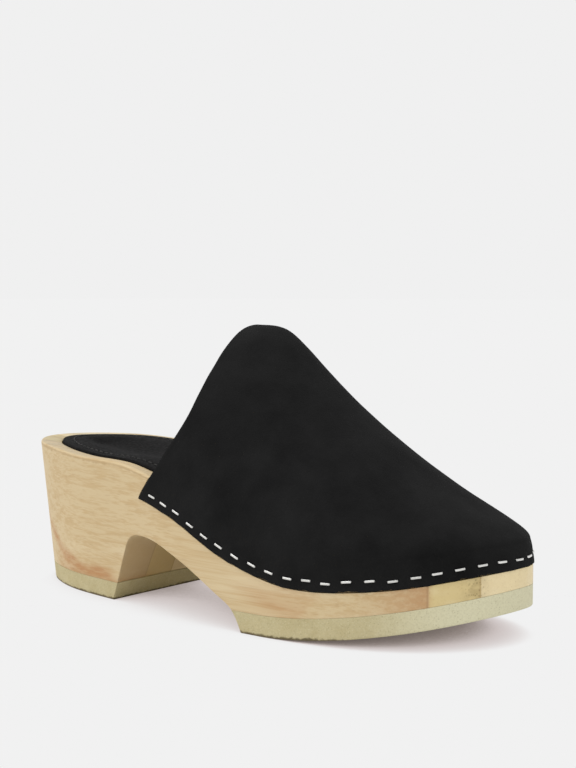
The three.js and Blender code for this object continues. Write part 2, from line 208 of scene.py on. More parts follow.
def soften(piece: bpy.types.Object, crease: float) -> None:
    """Shades a piece smoothly, apart from edges that turn by more than crease degrees."""
    piece.data.shade_smooth()
    piece.data.set_sharp_from_angle(angle=math.radians(crease))


def settle(piece: bpy.types.Object, crease: float = 35.0) -> None:
    """Turns a piece's modifiers into its own mesh.

    Args:
        piece: The piece.
        crease: Edges that turn by more degrees than this stay sharp.
    """
    graph = bpy.context.evaluated_depsgraph_get()
    mesh = bpy.data.meshes.new_from_object(piece.evaluated_get(graph), depsgraph=graph)
    piece.modifiers.clear()
    piece.data = mesh
    soften(piece, crease)


def cut(piece: bpy.types.Object, cutter: bpy.types.Object) -> None:
    """Cuts a closed piece with a closed cutter, which is then removed.

    Args:
        piece: The piece.
        cutter: The piece that is taken away from it.
    """
    step = piece.modifiers.new("cut", "BOOLEAN")
    step.operation = "DIFFERENCE"
    step.solver = "MANIFOLD"
    step.object = cutter
    settle(piece)
    bpy.data.objects.remove(cutter)


def places(piece: bpy.types.Object) -> np.ndarray:
    """Reads where a piece's corners are.

    Args:
        piece: The piece.

    Returns:
        Its corners, one in a row.
    """
    flat = np.zeros(len(piece.data.vertices) * 3, np.float32)
    piece.data.vertices.foreach_get("co", flat)
    return flat.reshape(-1, 3).astype(float)


def facing(piece: bpy.types.Object) -> np.ndarray:
    """Reads which way a piece faces.

    Args:
        piece: The piece.

    Returns:
        A direction for each corner, one in a row.
    """
    flat = np.zeros(len(piece.data.vertices) * 3, np.float32)
    piece.data.vertices.foreach_get("normal", flat)
    return flat.reshape(-1, 3).astype(float)


def move(piece: bpy.types.Object, points: np.ndarray) -> None:
    """Puts a piece's corners in new places."""
    piece.data.vertices.foreach_set("co", points.astype(np.float32).ravel())
    piece.data.update()


def mark(piece: bpy.types.Object, name: str, values: np.ndarray) -> None:
    """Keeps one value for each corner, which materials read by its name."""
    layer = piece.data.attributes.new(name, "FLOAT", "POINT")
    layer.data.foreach_set("value", values.astype(np.float32))


# The last


@dataclass(frozen=True)
class Last:
    """The last that the clog is made on: the same named sizes and tables as the solids."""

    length: float = 0.250
    width: float = 0.092
    heel_height: float = 0.0636
    arch_height: float = 0.0308
    vamp_height: float = 0.1175
    overlap: float = 0.0113
    rim_width: float = 0.0076
    rim_back_extra: float = 0.0024
    rim_inner_trim: float = 0.0034
    rim_fall: float = 0.0006
    bed_depth: float = 0.0024
    back_taper: float = 0.0066
    side_taper: float = 0.0048
    side_from: float = 0.045
    taper_fade: float = 0.075
    taper_end: float = 0.150
    toe_lean: float = 0.0016
    toe_lean_start: float = 0.205
    toe_depth: float = 0.025
    toe_pull_start: float = 0.120
    toe_pull_power: float = 1.6
    spring_start: float = 0.166
    toe_spring: float = 0.0132
    spring_power: float = 1.7
    spine: tuple[float, float] = (0.27, 0.77)
    origin: tuple[float, float] = (-0.125619, 0.00062)

    outline: Table = field(default_factory=lambda: table(
        "along outer inner",
        (0, 0, 0),
        (0.006, 0.092, 0.092),
        (0.028, 0.184, 0.19),
        (0.08, 0.296, 0.302),
        (0.18, 0.4, 0.375),
        (0.34, 0.462, 0.362),
        (0.5, 0.508, 0.37),
        (0.63, 0.5, 0.434),
        (0.73, 0.484, 0.484),
        (0.825, 0.426, 0.492),
        (0.912, 0.303, 0.424),
        (0.968, 0.137, 0.306),
        (0.994, -0.01, 0.189),
        (1, -0.11, 0.11),
    ))
    rim: Table = field(default_factory=lambda: table(
        "along up lap",
        (0, 1, 1),
        (0.12, 0.987, 1),
        (0.24, 0.957, 1),
        (0.36, 0.938, 1),
        (0.48, 0.824, 1),
        (0.6, 0.613, 1),
        (0.72, 0.502, 1),
        (0.86, 0.526, 0.97),
        (1, 0.602, 0.8),
    ))
    arch: Table = field(default_factory=lambda: table(
        "along up",
        (0.302, 0),
        (0.319, 0.285),
        (0.341, 0.66),
        (0.358, 0.9),
        (0.376, 0.985),
        (0.4, 1),
        (0.431, 0.97),
        (0.466, 0.885),
        (0.52, 0.71),
        (0.576, 0.46),
        (0.612, 0.275),
        (0.632, 0),
    ))
    ridge: Table = field(default_factory=lambda: table(
        "along up inward rise reach",
        (0.4, 1, 0.06, 0.4, 0.52),
        (0.485, 1, 0.065, 0.4, 0.52),
        (0.535, 0.99, 0.07, 0.4, 0.52),
        (0.57, 0.94, 0.07, 0.4, 0.5),
        (0.61, 0.862, 0.075, 0.4, 0.48),
        (0.67, 0.754, 0.08, 0.39, 0.45),
        (0.75, 0.625, 0.09, 0.36, 0.42),
        (0.83, 0.515, 0.095, 0.3, 0.39),
        (0.9, 0.431, 0.1, 0.3, 0.38),
        (0.95, 0.366, 0.1, 0.3, 0.38),
    ))
    throat: Table = field(default_factory=lambda: table(
        "up along",
        (0.4, 0.398),
        (0.5, 0.44),
        (0.6, 0.472),
        (0.68, 0.489),
        (0.77, 0.4965),
        (0.85, 0.4985),
        (0.91, 0.496),
        (0.96, 0.491),
        (1, 0.483),
    ))

    def _trace(self, station: np.ndarray) -> np.ndarray:
        """Follows the outline on a smooth curve through its rows.

        Args:
            station: 0 at the back of the heel and 1 at the tip of the toe.

        Returns:
            x and the half widths of the outer and the inner side.
        """
        rows = self.outline
        shares = np.stack([rows["along"], rows["outer"], rows["inner"]], 1)
        nodes = shares * (self.length, self.width, self.width)
        mirror = np.array([[1, 0, 0], [0, 0, -1], [0, -1, 0]])
        nodes = np.vstack([nodes[1] @ mirror, nodes, nodes[-2] @ mirror])
        place = 1 + np.asarray(station, float) * (len(nodes) - 3)
        i = np.clip(np.floor(place).astype(int), 1, len(nodes) - 3)
        w = (place - i)[..., None]
        a, b, c, d = (nodes[i + k] for k in (-1, 0, 1, 2))
        gaps = [np.sum((q - p) ** 2, -1, keepdims=True) ** 0.25 for p, q in ((a, b), (b, c), (c, d))]
        first = ((b - a) / gaps[0] - (c - a) / (gaps[0] + gaps[1]) + (c - b) / gaps[1]) * gaps[1]
        second = ((c - b) / gaps[1] - (d - b) / (gaps[1] + gaps[2]) + (d - c) / gaps[2]) * gaps[1]
        square, cube = 3 * (c - b) - 2 * first - second, 2 * (b - c) + first + second
        return b + w * (first + w * (square + w * cube))

    def along(self, station: np.ndarray) -> np.ndarray:
        """Returns x on the outline at each station."""
        return self._trace(station)[..., 0]

    def station_at(self, x: np.ndarray) -> np.ndarray:
        """Returns the station where the outline reaches x."""
        stations = np.linspace(0, 1, 4001)
        return np.interp(x, self.along(stations), stations)

    def outline_point(
        self, side: np.ndarray, station: np.ndarray, inset: np.ndarray, z: np.ndarray
    ) -> np.ndarray:
        """Finds points inside the outline.

        Args:
            side: -1 on the outer side and 1 on the inner side.
            station: 0 at the back of the heel and 1 at the tip of the toe.
            inset: The distance inwards.
            z: The height.

        Returns:
            The points, still measured from the back of the heel.
        """
        side, station, inset, z = np.broadcast_arrays(side, station, inset, z)
        nudge = 1e-4
        here = self._trace(station)
        step = self._trace(station + nudge) - self._trace(station - nudge)
        half = np.where(side < 0, here[..., 1], here[..., 2])
        run = np.stack([step[..., 0], side * np.where(side < 0, step[..., 1], step[..., 2])], -1)
        run /= np.linalg.norm(run, axis=-1, keepdims=True)
        x = here[..., 0] + side * run[..., 1] * inset
        return np.stack([x, side * half - side * run[..., 0] * inset, z], -1)

    def rim_height(self, x: np.ndarray) -> np.ndarray:
        """Returns the height of the wood's top edge."""
        return self.heel_height * smooth(self.rim, "along", "up", x / self.length)

    def seat_height(self, x: np.ndarray) -> np.ndarray:
        """Returns the height of the vamp's lower edge."""
        return self.rim_height(x) - self.overlap * smooth(self.rim, "along", "lap", x / self.length)

    def lean(self, x: np.ndarray) -> np.ndarray:
        """Returns how far the front of the toe leans back at the rim."""
        return self.toe_lean * smoothstep(x, self.toe_lean_start, self.length)

    def taper(self, x: np.ndarray, z: np.ndarray) -> np.ndarray:
        """Works out how far the side of the wood is drawn in.

        Args:
            x: Places along the shoe, from the back of the heel.
            z: Heights above the floor.

        Returns:
            The distances.
        """
        at_floor = self.back_taper + (self.side_taper - self.back_taper) * smoothstep(x, 0, self.side_from)
        fade = 1 - smoothstep(x, self.taper_fade, self.taper_end)
        return at_floor * fade * np.maximum(0, 1 - z / self.rim_height(x))

    def side_point(
        self, side: np.ndarray, station: np.ndarray, inset: np.ndarray, z: np.ndarray
    ) -> np.ndarray:
        """Finds points in from the side of the wood at height z."""
        return self.outline_point(side, station, inset + self.taper(self.along(station), z), z)

    def spine_point(self, station: np.ndarray) -> np.ndarray:
        """Finds the line in the middle that the top and the underside run in to.

        Args:
            station: 0 at the back of the heel and 1 at the tip of the toe.

        Returns:
            The points, at height 0.
        """
        held = np.clip(station, *self.spine)
        outer = self.outline_point(Side.OUTER.value, held, 0.0, 0.0)
        return (outer + self.outline_point(Side.INNER.value, held, 0.0, 0.0)) / 2

    def rim_band(self, side: np.ndarray, station: np.ndarray) -> np.ndarray:
        """Works out how wide the bare rim is.

        Args:
            side: -1 on the outer side and 1 on the inner side.
            station: 0 at the back of the heel and 1 at the tip of the toe.

        Returns:
            The widths. The two sides meet in one width at the back and at the toe.
        """
        x = self.along(station)
        ahead = smoothstep(x, 0, self.side_from)
        trim = np.where(side > 0, ahead * (1 - smoothstep(x, self.taper_end, self.toe_lean_start)), 0.0)
        return self.rim_width + self.rim_back_extra * (1 - ahead) - self.rim_inner_trim * trim

    def footbed_point(
        self, side: np.ndarray, station: np.ndarray, share: float, inset: float, drop: float
    ) -> np.ndarray:
        """Finds points over the footbed.

        Args:
            side: The sides of the columns.
            station: Their stations.
            share: 0 beside the rim and 1 on the lowest line.
            inset: The distance in from the rim's inner edge.
            drop: The distance below the rim there.

        Returns:
            The points.
        """
        points = self.outline_point(side, station, self.rim_band(side, station) + inset, 0.0)
        points += share * (self.spine_point(station) - points)
        hollow = self.bed_depth * smoothstep(np.array(share), 0, 1)
        points[..., 2] = self.rim_height(points[..., 0]) - self.rim_fall - hollow - drop
        return points

    def spring(self, x: np.ndarray) -> np.ndarray:
        """Returns how far the tread has left the floor."""
        ahead = np.maximum(0, x - self.spring_start) / (self.length - self.spring_start)
        return self.toe_spring * ahead ** self.spring_power

    def arch_line(self) -> tuple[np.ndarray, np.ndarray]:
        """Follows the arch on a smooth curve through its rows.

        Returns:
            x and z along the arch, from the heel to the ball of the foot.
        """
        nodes = np.stack([self.arch["along"] * self.length, self.arch["up"] * self.arch_height], 1)
        place = np.linspace(0, len(nodes) - 1, 400)
        i = np.minimum(place.astype(int), len(nodes) - 2)
        w = (place - i)[:, None]
        last = len(nodes) - 1
        a, b, c, d = (nodes[np.clip(i + k, 0, last)] for k in (-1, 0, 1, 2))
        first, second = (c - a) / 2, (d - b) / 2
        square, cube = 3 * (c - b) - 2 * first - second, 2 * (b - c) + first + second
        line = b + w * (first + w * (square + w * cube))
        return line[:, 0], line[:, 1]

    def vamp_point(self, side: np.ndarray, station: np.ndarray, row: float, proud: float) -> np.ndarray:
        """Finds points of the outer face of the vamp.

        Args:
            side: The sides of the columns.
            station: Their stations.
            row: 0 at the lower edge, 1 at the rim of the wood and 2 on the ridge.
            proud: How far the face stands out from the side of the wood.

        Returns:
            The points.
        """
        x = self.along(station)
        low = min(row, 1.0)
        z = self.seat_height(x) + low * (self.rim_height(x) - self.seat_height(x))
        foot = self.side_point(side, station, self.lean(x) * low**2 - proud, z)
        if row <= 1:
            return foot
        ahead = np.maximum(0, x - self.toe_pull_start) / (self.length - self.toe_pull_start)
        along = (x - self.toe_depth * ahead**self.toe_pull_power) / self.length

        def read(name: str, at: np.ndarray) -> np.ndarray:
            """Reads a column of the ridge's table."""
            return smooth(self.ridge, "along", name, at)

        nearby = 0.004
        rise = self.vamp_height * (read("up", along + nearby) - read("up", along - nearby))
        slope = rise / (2 * nearby * self.length)
        inward, up = read("inward", along) * self.width, read("up", along) * self.vamp_height
        top = np.stack((along * self.length, inward, up), -1)
        flank, brow = foot.copy(), top + (foot - top) * read("reach", along)[..., None]
        flank[..., 2] += read("rise", along) * (top[..., 2] - foot[..., 2])
        brow[..., 2] = top[..., 2] + slope * (brow[..., 0] - top[..., 0])
        t = row - 1
        weights = ((1 - t) ** 3, 3 * t * (1 - t) ** 2, 3 * t * t * (1 - t), t**3)
        return sum(w * p for w, p in zip(weights, (foot, flank, brow, top)))

    def throat_station(self, side: int, row: float, proud: float) -> float:
        """Finds the station at which the throat crosses a row of the vamp.

        Args:
            side: -1 on the outer side and 1 on the inner side.
            row: The row.
            proud: How far the vamp stands out from the wood.

        Returns:
            The station.
        """
        low, high = 0.0, 1.0
        for _ in range(30):
            middle = (low + high) / 2
            point = self.vamp_point(np.array([side]), np.array([middle]), row, proud)[0]
            if point[0] < self.length * smooth(self.throat, "up", "along", point[2] / self.vamp_height):
                low = middle
            else:
                high = middle
        return high

    def vamp_columns(self, row: float, proud: float, count: int) -> tuple[np.ndarray, np.ndarray]:
        """Spaces the columns of one row of the vamp, round the toe from throat to throat.

        Args:
            row: The row.
            proud: How far the vamp stands out from the wood.
            count: The number of columns on each side.

        Returns:
            The sides and stations of the columns.
        """
        share = np.linspace(0, 1, count + 1)
        halves = []
        for side in Side:
            throat = self.throat_station(side.value, row, proud)
            halves.append(throat + share * (1 - throat))
        station = np.concatenate([halves[0], halves[1][-2::-1]])
        side = np.where(np.arange(2 * count + 1) <= count, Side.OUTER.value, Side.INNER.value)
        return side, station

    def placed(self, points: np.ndarray) -> np.ndarray:
        """Moves points from the back of the heel into the frame of the solids."""
        return points + np.array([*self.origin, 0.0])


# Shader graphs and the effects that several finishes share


class Graph:
    """A node tree that is written from its inputs to its outputs."""

    def __init__(self, tree: bpy.types.NodeTree) -> None:
        """Starts with an empty tree."""
        self.tree = tree
        self.tree.nodes.clear()

    def add(self, kind: str, inputs: dict | None = None, **settings: object) -> bpy.types.Node:
        """Adds a node.

        Args:
            kind: The node's type.
            inputs: Values or other nodes' outputs for its inputs, by name or number.
            settings: Its other properties.

        Returns:
            The node.
        """
        node = self.tree.nodes.new(kind)
        for key, value in settings.items():
            setattr(node, key, value)
        for key, value in (inputs or {}).items():
            if isinstance(value, bpy.types.NodeSocket):
                self.tree.links.new(value, node.inputs[key])
            else:
                node.inputs[key].default_value = value
        return node

    def math(self, operation: str, *values: object, clamp: bool = False) -> bpy.types.NodeSocket:
        """Adds a sum or another operation on numbers and returns its result."""
        inputs = dict(enumerate(values))
        return self.add("ShaderNodeMath", inputs, operation=operation, use_clamp=clamp).outputs[0]

    def mix(self, factor: object, first: object, second: object) -> bpy.types.NodeSocket:
        """Mixes two colours by a factor and returns the result."""
        inputs = {0: factor, 6: first, 7: second}
        return self.add("ShaderNodeMix", inputs, data_type="RGBA").outputs[2]

    def remap(
        self, value: object, low: float, high: float, to_low: float = 0.0, to_high: object = 1.0
    ) -> bpy.types.NodeSocket:
        """Maps a range of values softly on to another and returns the result."""
        inputs = {0: value, 1: low, 2: high, 3: to_low, 4: to_high}
        return self.add("ShaderNodeMapRange", inputs, interpolation_type="SMOOTHSTEP").outputs[0]

    def ramp(
        self, value: object, stops: Sequence[tuple[float, Colour]], kind: str = "LINEAR"
    ) -> bpy.types.NodeSocket:
        """Turns a value into a colour.

        Args:
            value: The value, from 0 to 1.
            stops: Places from 0 to 1, each with its colour.
            kind: How the colours run between the stops.

        Returns:
            The colour.
        """
        node = self.add("ShaderNodeValToRGB", {0: value})
        node.color_ramp.interpolation = kind
        elements = node.color_ramp.elements
        while len(elements) < len(stops):
            elements.new(1.0)
        for element, (place, colour) in zip(elements, stops):
            element.position = place
            element.color = colour
        return node.outputs[0]

    def stretch(self, vector: object, scale: tuple[float, float, float]) -> bpy.types.NodeSocket:
        """Scales a vector along its axes and returns it."""
        return self.add("ShaderNodeVectorMath", {0: vector, 1: scale}, operation="MULTIPLY").outputs[0]

    def noise(
        self, vector: object, scale: object, detail: float = 2.0, twist: float = 0.0
    ) -> bpy.types.NodeSocket:
        """Adds a noise texture and returns its value."""
        inputs = {"Vector": vector, "Scale": scale, "Detail": detail, "Distortion": twist}
        return self.add("ShaderNodeTexNoise", inputs).outputs[0]

    def attribute(self, name: str) -> bpy.types.NodeSocket:
        """Reads a value that a mesh keeps for its corners."""
        return self.add("ShaderNodeAttribute", attribute_name=name).outputs["Fac"]


def effect(
    name: str, inputs: dict[str, object], outputs: Sequence[str], fill: Callable
) -> bpy.types.NodeTree:
    """Builds a shader node group once, and finds it again after that.

    Args:
        name: The group's name.
        inputs: The default of each input, a number for a value or None for a vector.
        outputs: The names of its outputs, which are all numbers.
        fill: Takes the graph and the group's input sockets, and returns its outputs in order.

    Returns:
        The group.
    """
    known = bpy.data.node_groups.get(name)
    if known:
        return known
    tree = bpy.data.node_groups.new(name, "ShaderNodeTree")
    for label, default in inputs.items():
        kind = "NodeSocketVector" if default is None else "NodeSocketFloat"
        socket = tree.interface.new_socket(label, in_out="INPUT", socket_type=kind)
        if default is not None:
            socket.default_value = default
    for label in outputs:
        tree.interface.new_socket(label, in_out="OUTPUT", socket_type="NodeSocketFloat")
    graph = Graph(tree)
    source = graph.add("NodeGroupInput")
    results = fill(graph, {label: source.outputs[label] for label in inputs})
    graph.add("NodeGroupOutput", dict(zip(outputs, results)))
    return tree


def mottle_effect() -> bpy.types.NodeTree:
    """Soft cloudy patches. Outputs: Value.

    Returns:
        The group.
    """

    def fill(graph: Graph, source: dict) -> tuple:
        """Mixes two sizes of cloud.

        Args:
            graph: The group's graph.
            source: The group's inputs by name.

        Returns:
            The outputs, in order.
        """
        wide = graph.noise(source["Vector"], source["Scale"], 3.0, 0.4)
        close = graph.noise(source["Vector"], graph.math("MULTIPLY", source["Scale"], 3.7), 2.0)
        blend = graph.math("ADD", graph.math("MULTIPLY", wide, 0.7), graph.math("MULTIPLY", close, 0.3))
        centred = graph.math("SUBTRACT", blend, 0.5)
        return (graph.math("ADD", graph.math("MULTIPLY", centred, source["Contrast"]), 0.5, clamp=True),)

    return effect("mottle", {"Vector": None, "Scale": 20.0, "Contrast": 2.0}, ["Value"], fill)


def fibre_effect() -> bpy.types.NodeTree:
    """Long fibres along x. Outputs: Streak, Pores and Height.

    Returns:
        The group.
    """

    def fill(graph: Graph, source: dict) -> tuple:
        """Stretches noise lengthwise into streaks, and into short dark pores.

        Args:
            graph: The group's graph.
            source: The group's inputs by name.

        Returns:
            The outputs, in order.
        """
        wide = graph.noise(graph.stretch(source["Vector"], (6, 90, 130)), source["Scale"], 3.0, 0.4)
        narrow = graph.noise(graph.stretch(source["Vector"], (6, 460, 560)), source["Scale"], 3.0, 0.2)
        fine = graph.noise(graph.stretch(source["Vector"], (16, 1500, 1800)), source["Scale"], 2.0)
        dashes = graph.noise(graph.stretch(source["Vector"], (70, 1500, 1900)), source["Scale"], 0.0)
        pores = graph.remap(dashes, 0.70, 0.80)
        broad = graph.math("MULTIPLY_ADD", narrow, 0.46, graph.math("MULTIPLY", wide, 0.22))
        streak = graph.math("MULTIPLY_ADD", fine, 0.32, broad)
        height = graph.math("SUBTRACT", fine, graph.math("MULTIPLY", pores, 0.8))
        return streak, pores, height

    return effect("fibre", {"Vector": None, "Scale": 1.0}, ["Streak", "Pores", "Height"], fill)


def speckle_effect() -> bpy.types.NodeTree:
    """Scattered small specks. Outputs: Mask.

    Returns:
        The group.
    """

    def fill(graph: Graph, source: dict) -> tuple:
        """Keeps the middles of some cells, at random.

        Args:
            graph: The group's graph.
            source: The group's inputs by name.

        Returns:
            The outputs, in order.
        """
        cell = graph.add("ShaderNodeTexVoronoi", {"Vector": source["Vector"], "Scale": source["Scale"]})
        near = graph.math("LESS_THAN", cell.outputs["Distance"], source["Size"])
        pick = graph.add("ShaderNodeSeparateColor", {0: cell.outputs["Color"]}).outputs[0]
        return (graph.math("MULTIPLY", near, graph.math("LESS_THAN", pick, source["Share"])),)

    return effect("speckle", {"Vector": None, "Scale": 900.0, "Size": 0.3, "Share": 0.4}, ["Mask"], fill)


def wear_effect() -> bpy.types.NodeTree:
    """A border that is broken up by noise, for worn or dirty edges. Outputs: Mask.

    Returns:
        The group.
    """

    def fill(graph: Graph, source: dict) -> tuple:
        """Lets noise eat into the edge's mask.

        Args:
            graph: The group's graph.
            source: The group's inputs by name.

        Returns:
            The outputs, in order.
        """
        eaten = graph.math("SUBTRACT", graph.noise(source["Vector"], source["Scale"], 4.0), 0.5)
        pushed = graph.math("ADD", source["Edge"], graph.math("MULTIPLY", eaten, source["Roughness"]))
        return (graph.remap(pushed, 0.35, 0.75),)

    inputs = {"Vector": None, "Edge": 0.0, "Scale": 300.0, "Roughness": 1.0}
    return effect("edge_wear", inputs, ["Mask"], fill)


def nap_effect() -> bpy.types.NodeTree:
    """Short brushed hairs. Outputs: Value and Height.

    Returns:
        The group.
    """

    def fill(graph: Graph, source: dict) -> tuple:
        """Mixes clumps of hair with single hairs.

        Args:
            graph: The group's graph.
            source: The group's inputs by name.

        Returns:
            The outputs, in order.
        """
        clump = graph.noise(source["Vector"], graph.math("MULTIPLY", source["Scale"], 0.22), 3.0, 1.2)
        hair = graph.noise(graph.stretch(source["Vector"], (1.0, 1.0, 0.45)), source["Scale"], 2.0)
        value = graph.math("ADD", graph.math("MULTIPLY", clump, 0.5), graph.math("MULTIPLY", hair, 0.5))
        return value, value

    return effect("nap", {"Vector": None, "Scale": 2600.0}, ["Value", "Height"], fill)


@dataclass(frozen=True)
class Finish:
    """A finish: a Principled shader with the values that are the same all over the piece."""

    name: str
    roughness: float = 0.5
    metallic: float = 0.0
    specular: float = 0.5
    sheen: float = 0.0
    sheen_roughness: float = 0.5
    bump: float = 0.3
    bump_depth: float = 0.0002
    emission: float = 0.0

    def paint(self, graph: Graph, where: bpy.types.NodeSocket) -> dict[str, object]:
        """Works out what changes over the surface.

        Args:
            graph: The material's graph.
            where: The place on the object.

        Returns:
            Outputs for Height and for inputs of the shader, such as Base Color.
        """
        raise NotImplementedError

    def material(self) -> bpy.types.Material:
        """Builds the material once, and finds it again after that.

        Returns:
            The material.
        """
        known = bpy.data.materials.get(self.name)
        if known:
            return known
        material = bpy.data.materials.new(self.name)
        material.use_nodes = True
        graph = Graph(material.node_tree)
        where = graph.add("ShaderNodeTexCoord").outputs["Object"]
        painted = self.paint(graph, where)
        inputs = {
            "Roughness": self.roughness,
            "Metallic": self.metallic,
            "Specular IOR Level": self.specular,
            "Sheen Weight": self.sheen,
            "Sheen Roughness": self.sheen_roughness,
            "Emission Strength": self.emission,
        }
        height = painted.pop("Height")
        inputs.update(painted)
        bump = {"Height": height, "Strength": self.bump, "Distance": self.bump_depth}
        inputs["Normal"] = graph.add("ShaderNodeBump", bump).outputs[0]
        shader = graph.add("ShaderNodeBsdfPrincipled", inputs)
        graph.add("ShaderNodeOutputMaterial", {"Surface": shader.outputs[0]})
        return material


@dataclass(frozen=True)
class WoodFinish(Finish):
    """Pale sanded wood, glued up from boards that run along the shoe."""

    name: str = "pale_sanded_wood"
    roughness: float = 0.55
    specular: float = 0.3
    bump: float = 0.25
    bump_depth: float = 0.00012
    skew: float = 0.031
    half_span: float = 0.05
    joints: tuple[float, ...] = (-0.0218, -0.0062, 0.0245, 0.037)
    glue_width: float = 0.00014
    # Each board's own tint. The third board, which runs out at the toe, is also lighter as painted light on
    # the toe.
    tints: tuple[Colour, ...] = (
        srgb(211, 189, 148),
        srgb(220, 199, 144),
        srgb(240, 221, 176),
        srgb(222, 200, 156),
        srgb(222, 201, 160),
    )
    streak_colour: Colour = srgb(190, 156, 106)
    light_colour: Colour = srgb(240, 226, 192)
    pore_colour: Colour = srgb(160, 122, 82)
    heart_colour: Colour = srgb(186, 138, 92)
    stain_colour: Colour = srgb(128, 106, 62)
    end_grain_and_shade_colour: Colour = srgb(176, 142, 100)
    glue_colour: Colour = srgb(150, 112, 72)
    edge_colour: Colour = srgb(176, 146, 104)
    painted_heel_shade_colour: Colour = srgb(150, 145, 132)
    streak_share: float = 0.46
    end_face_calm: float = 0.38
    light_share: float = 0.28
    heart_share: float = 0.95
    pore_share: float = 0.16
    end_grain_and_shade_share: float = 0.4
    glue_share: float = 0.4
    edge_share: float = 0.55
    painted_heel_shade_range: tuple[float, float] = (0.2, 0.42)

    def boards(self, graph: Graph, where: bpy.types.NodeSocket) -> tuple:
        """Divides the wood into its boards.

        Args:
            graph: The material's graph.
            where: The place on the object.

        Returns:
            The boards' tint, the mask of the glue lines, and the place moved apart from board to board.
        """
        axes = graph.add("ShaderNodeSeparateXYZ", {0: where})
        across = graph.math("MULTIPLY_ADD", axes.outputs[0], self.skew, axes.outputs[1])
        share = graph.add("ShaderNodeMapRange", {0: across, 1: -self.half_span, 2: self.half_span}).outputs[0]
        place = lambda y: (y + self.half_span) / (2 * self.half_span)
        edges = (0.0, *(place(y) for y in self.joints))
        tint = graph.ramp(share, list(zip(edges, self.tints)), "CONSTANT")
        white, black = (1.0, 1.0, 1.0, 1.0), (0.0, 0.0, 0.0, 1.0)
        stops = [(0.0, black)]
        for joint in self.joints:
            middle, half = place(joint), self.glue_width / (2 * self.half_span)
            stops += [(middle - 2 * half, black), (middle - half, white), (middle + half, white)]
            stops.append((middle + 2 * half, black))
        glue = graph.ramp(share, stops)
        grey = [(edge, (0.13 * k, 0.13 * k, 0.13 * k, 1.0)) for k, edge in enumerate(edges)]
        apart = graph.stretch(graph.ramp(share, grey, "CONSTANT"), (0.9, 0.37, 0.61))
        return tint, glue, graph.add("ShaderNodeVectorMath", {0: where, 1: apart}, operation="ADD").outputs[0]

    def paint(self, graph: Graph, where: bpy.types.NodeSocket) -> dict[str, object]:
        """Lays streaks, pores, heartwood, stains, glue lines, darker ends that are end grain and painted
        shade in one, and painted shade on the top at the back of the heel over the boards.

        Args:
            graph: The material's graph.
            where: The place on the object.

        Returns:
            Outputs for Height and for inputs of the shader.
        """
        tint, glue, apart = self.boards(graph, where)
        fibre = graph.add("ShaderNodeGroup", {"Vector": apart}, node_tree=fibre_effect())
        softer = graph.stretch(apart, (0.2, 1.0, 1.6))
        clouds = {"Vector": softer, "Scale": 45.0, "Contrast": 2.2}
        mottle = graph.add("ShaderNodeGroup", clouds, node_tree=mottle_effect())
        ends = graph.attribute("end_face")
        strength = graph.math("MULTIPLY_ADD", ends, -self.end_face_calm, self.streak_share)
        streaks = graph.remap(fibre.outputs["Streak"], 0.44, 0.60, 0.0, strength)
        colour = graph.mix(streaks, tint, self.streak_colour)
        lift = graph.remap(mottle.outputs["Value"], 0.45, 0.95, 0.0, self.light_share)
        colour = graph.mix(lift, colour, self.light_colour)
        figure = graph.remap(fibre.outputs["Streak"], 0.36, 0.58, 0.6, 1.0)
        heart = graph.math("MULTIPLY", graph.attribute("heartwood"), figure)
        colour = graph.mix(graph.math("MULTIPLY", heart, self.heart_share), colour, self.heart_colour)
        dots = {"Vector": where, "Scale": 1250.0, "Size": 0.42, "Share": 0.3}
        spots = graph.add("ShaderNodeGroup", dots, node_tree=speckle_effect()).outputs["Mask"]
        cloud = graph.remap(graph.noise(where, 260.0), 0.36, 0.60, 0.06, 0.34)
        patch = graph.math("MULTIPLY_ADD", spots, 0.35, cloud)
        stained = graph.math("MULTIPLY", graph.attribute("stain"), patch, clamp=True)
        colour = graph.mix(stained, colour, self.stain_colour)
        pores = graph.math("MULTIPLY", fibre.outputs["Pores"], self.pore_share)
        colour = graph.mix(pores, colour, self.pore_colour)
        # Darker ends: partly the end grain's own colour, partly painted shade on the breast under the arch.
        sawn_and_shaded = graph.math("MULTIPLY", graph.attribute("end_grain_and_shade"), self.end_grain_and_shade_share)
        colour = graph.mix(sawn_and_shaded, colour, self.end_grain_and_shade_colour)
        colour = graph.mix(graph.math("MULTIPLY", glue, self.glue_share), colour, self.glue_colour)
        rim = {"Vector": where, "Edge": graph.attribute("edge")}
        wear = graph.add("ShaderNodeGroup", rim, node_tree=wear_effect())
        worn = graph.math("MULTIPLY", wear.outputs["Mask"], self.edge_share)
        colour = graph.mix(worn, colour, self.edge_colour)
        # Painted shade: a grey darkening on the top at the back of the heel, in noisy patches.
        shade_patches = graph.remap(graph.noise(where, 120.0), 0.3, 0.6, *self.painted_heel_shade_range)
        painted_heel_shade = graph.math("MULTIPLY", graph.attribute("painted_heel_shade"), shade_patches)
        colour = graph.mix(painted_heel_shade, colour, self.painted_heel_shade_colour)
        smoothest, roughest = self.roughness - 0.08, self.roughness + 0.1
        rough_map = graph.remap(fibre.outputs["Streak"], 0.3, 0.7, smoothest, roughest)
        return {"Base Color": colour, "Roughness": rough_map, "Height": fibre.outputs["Height"]}


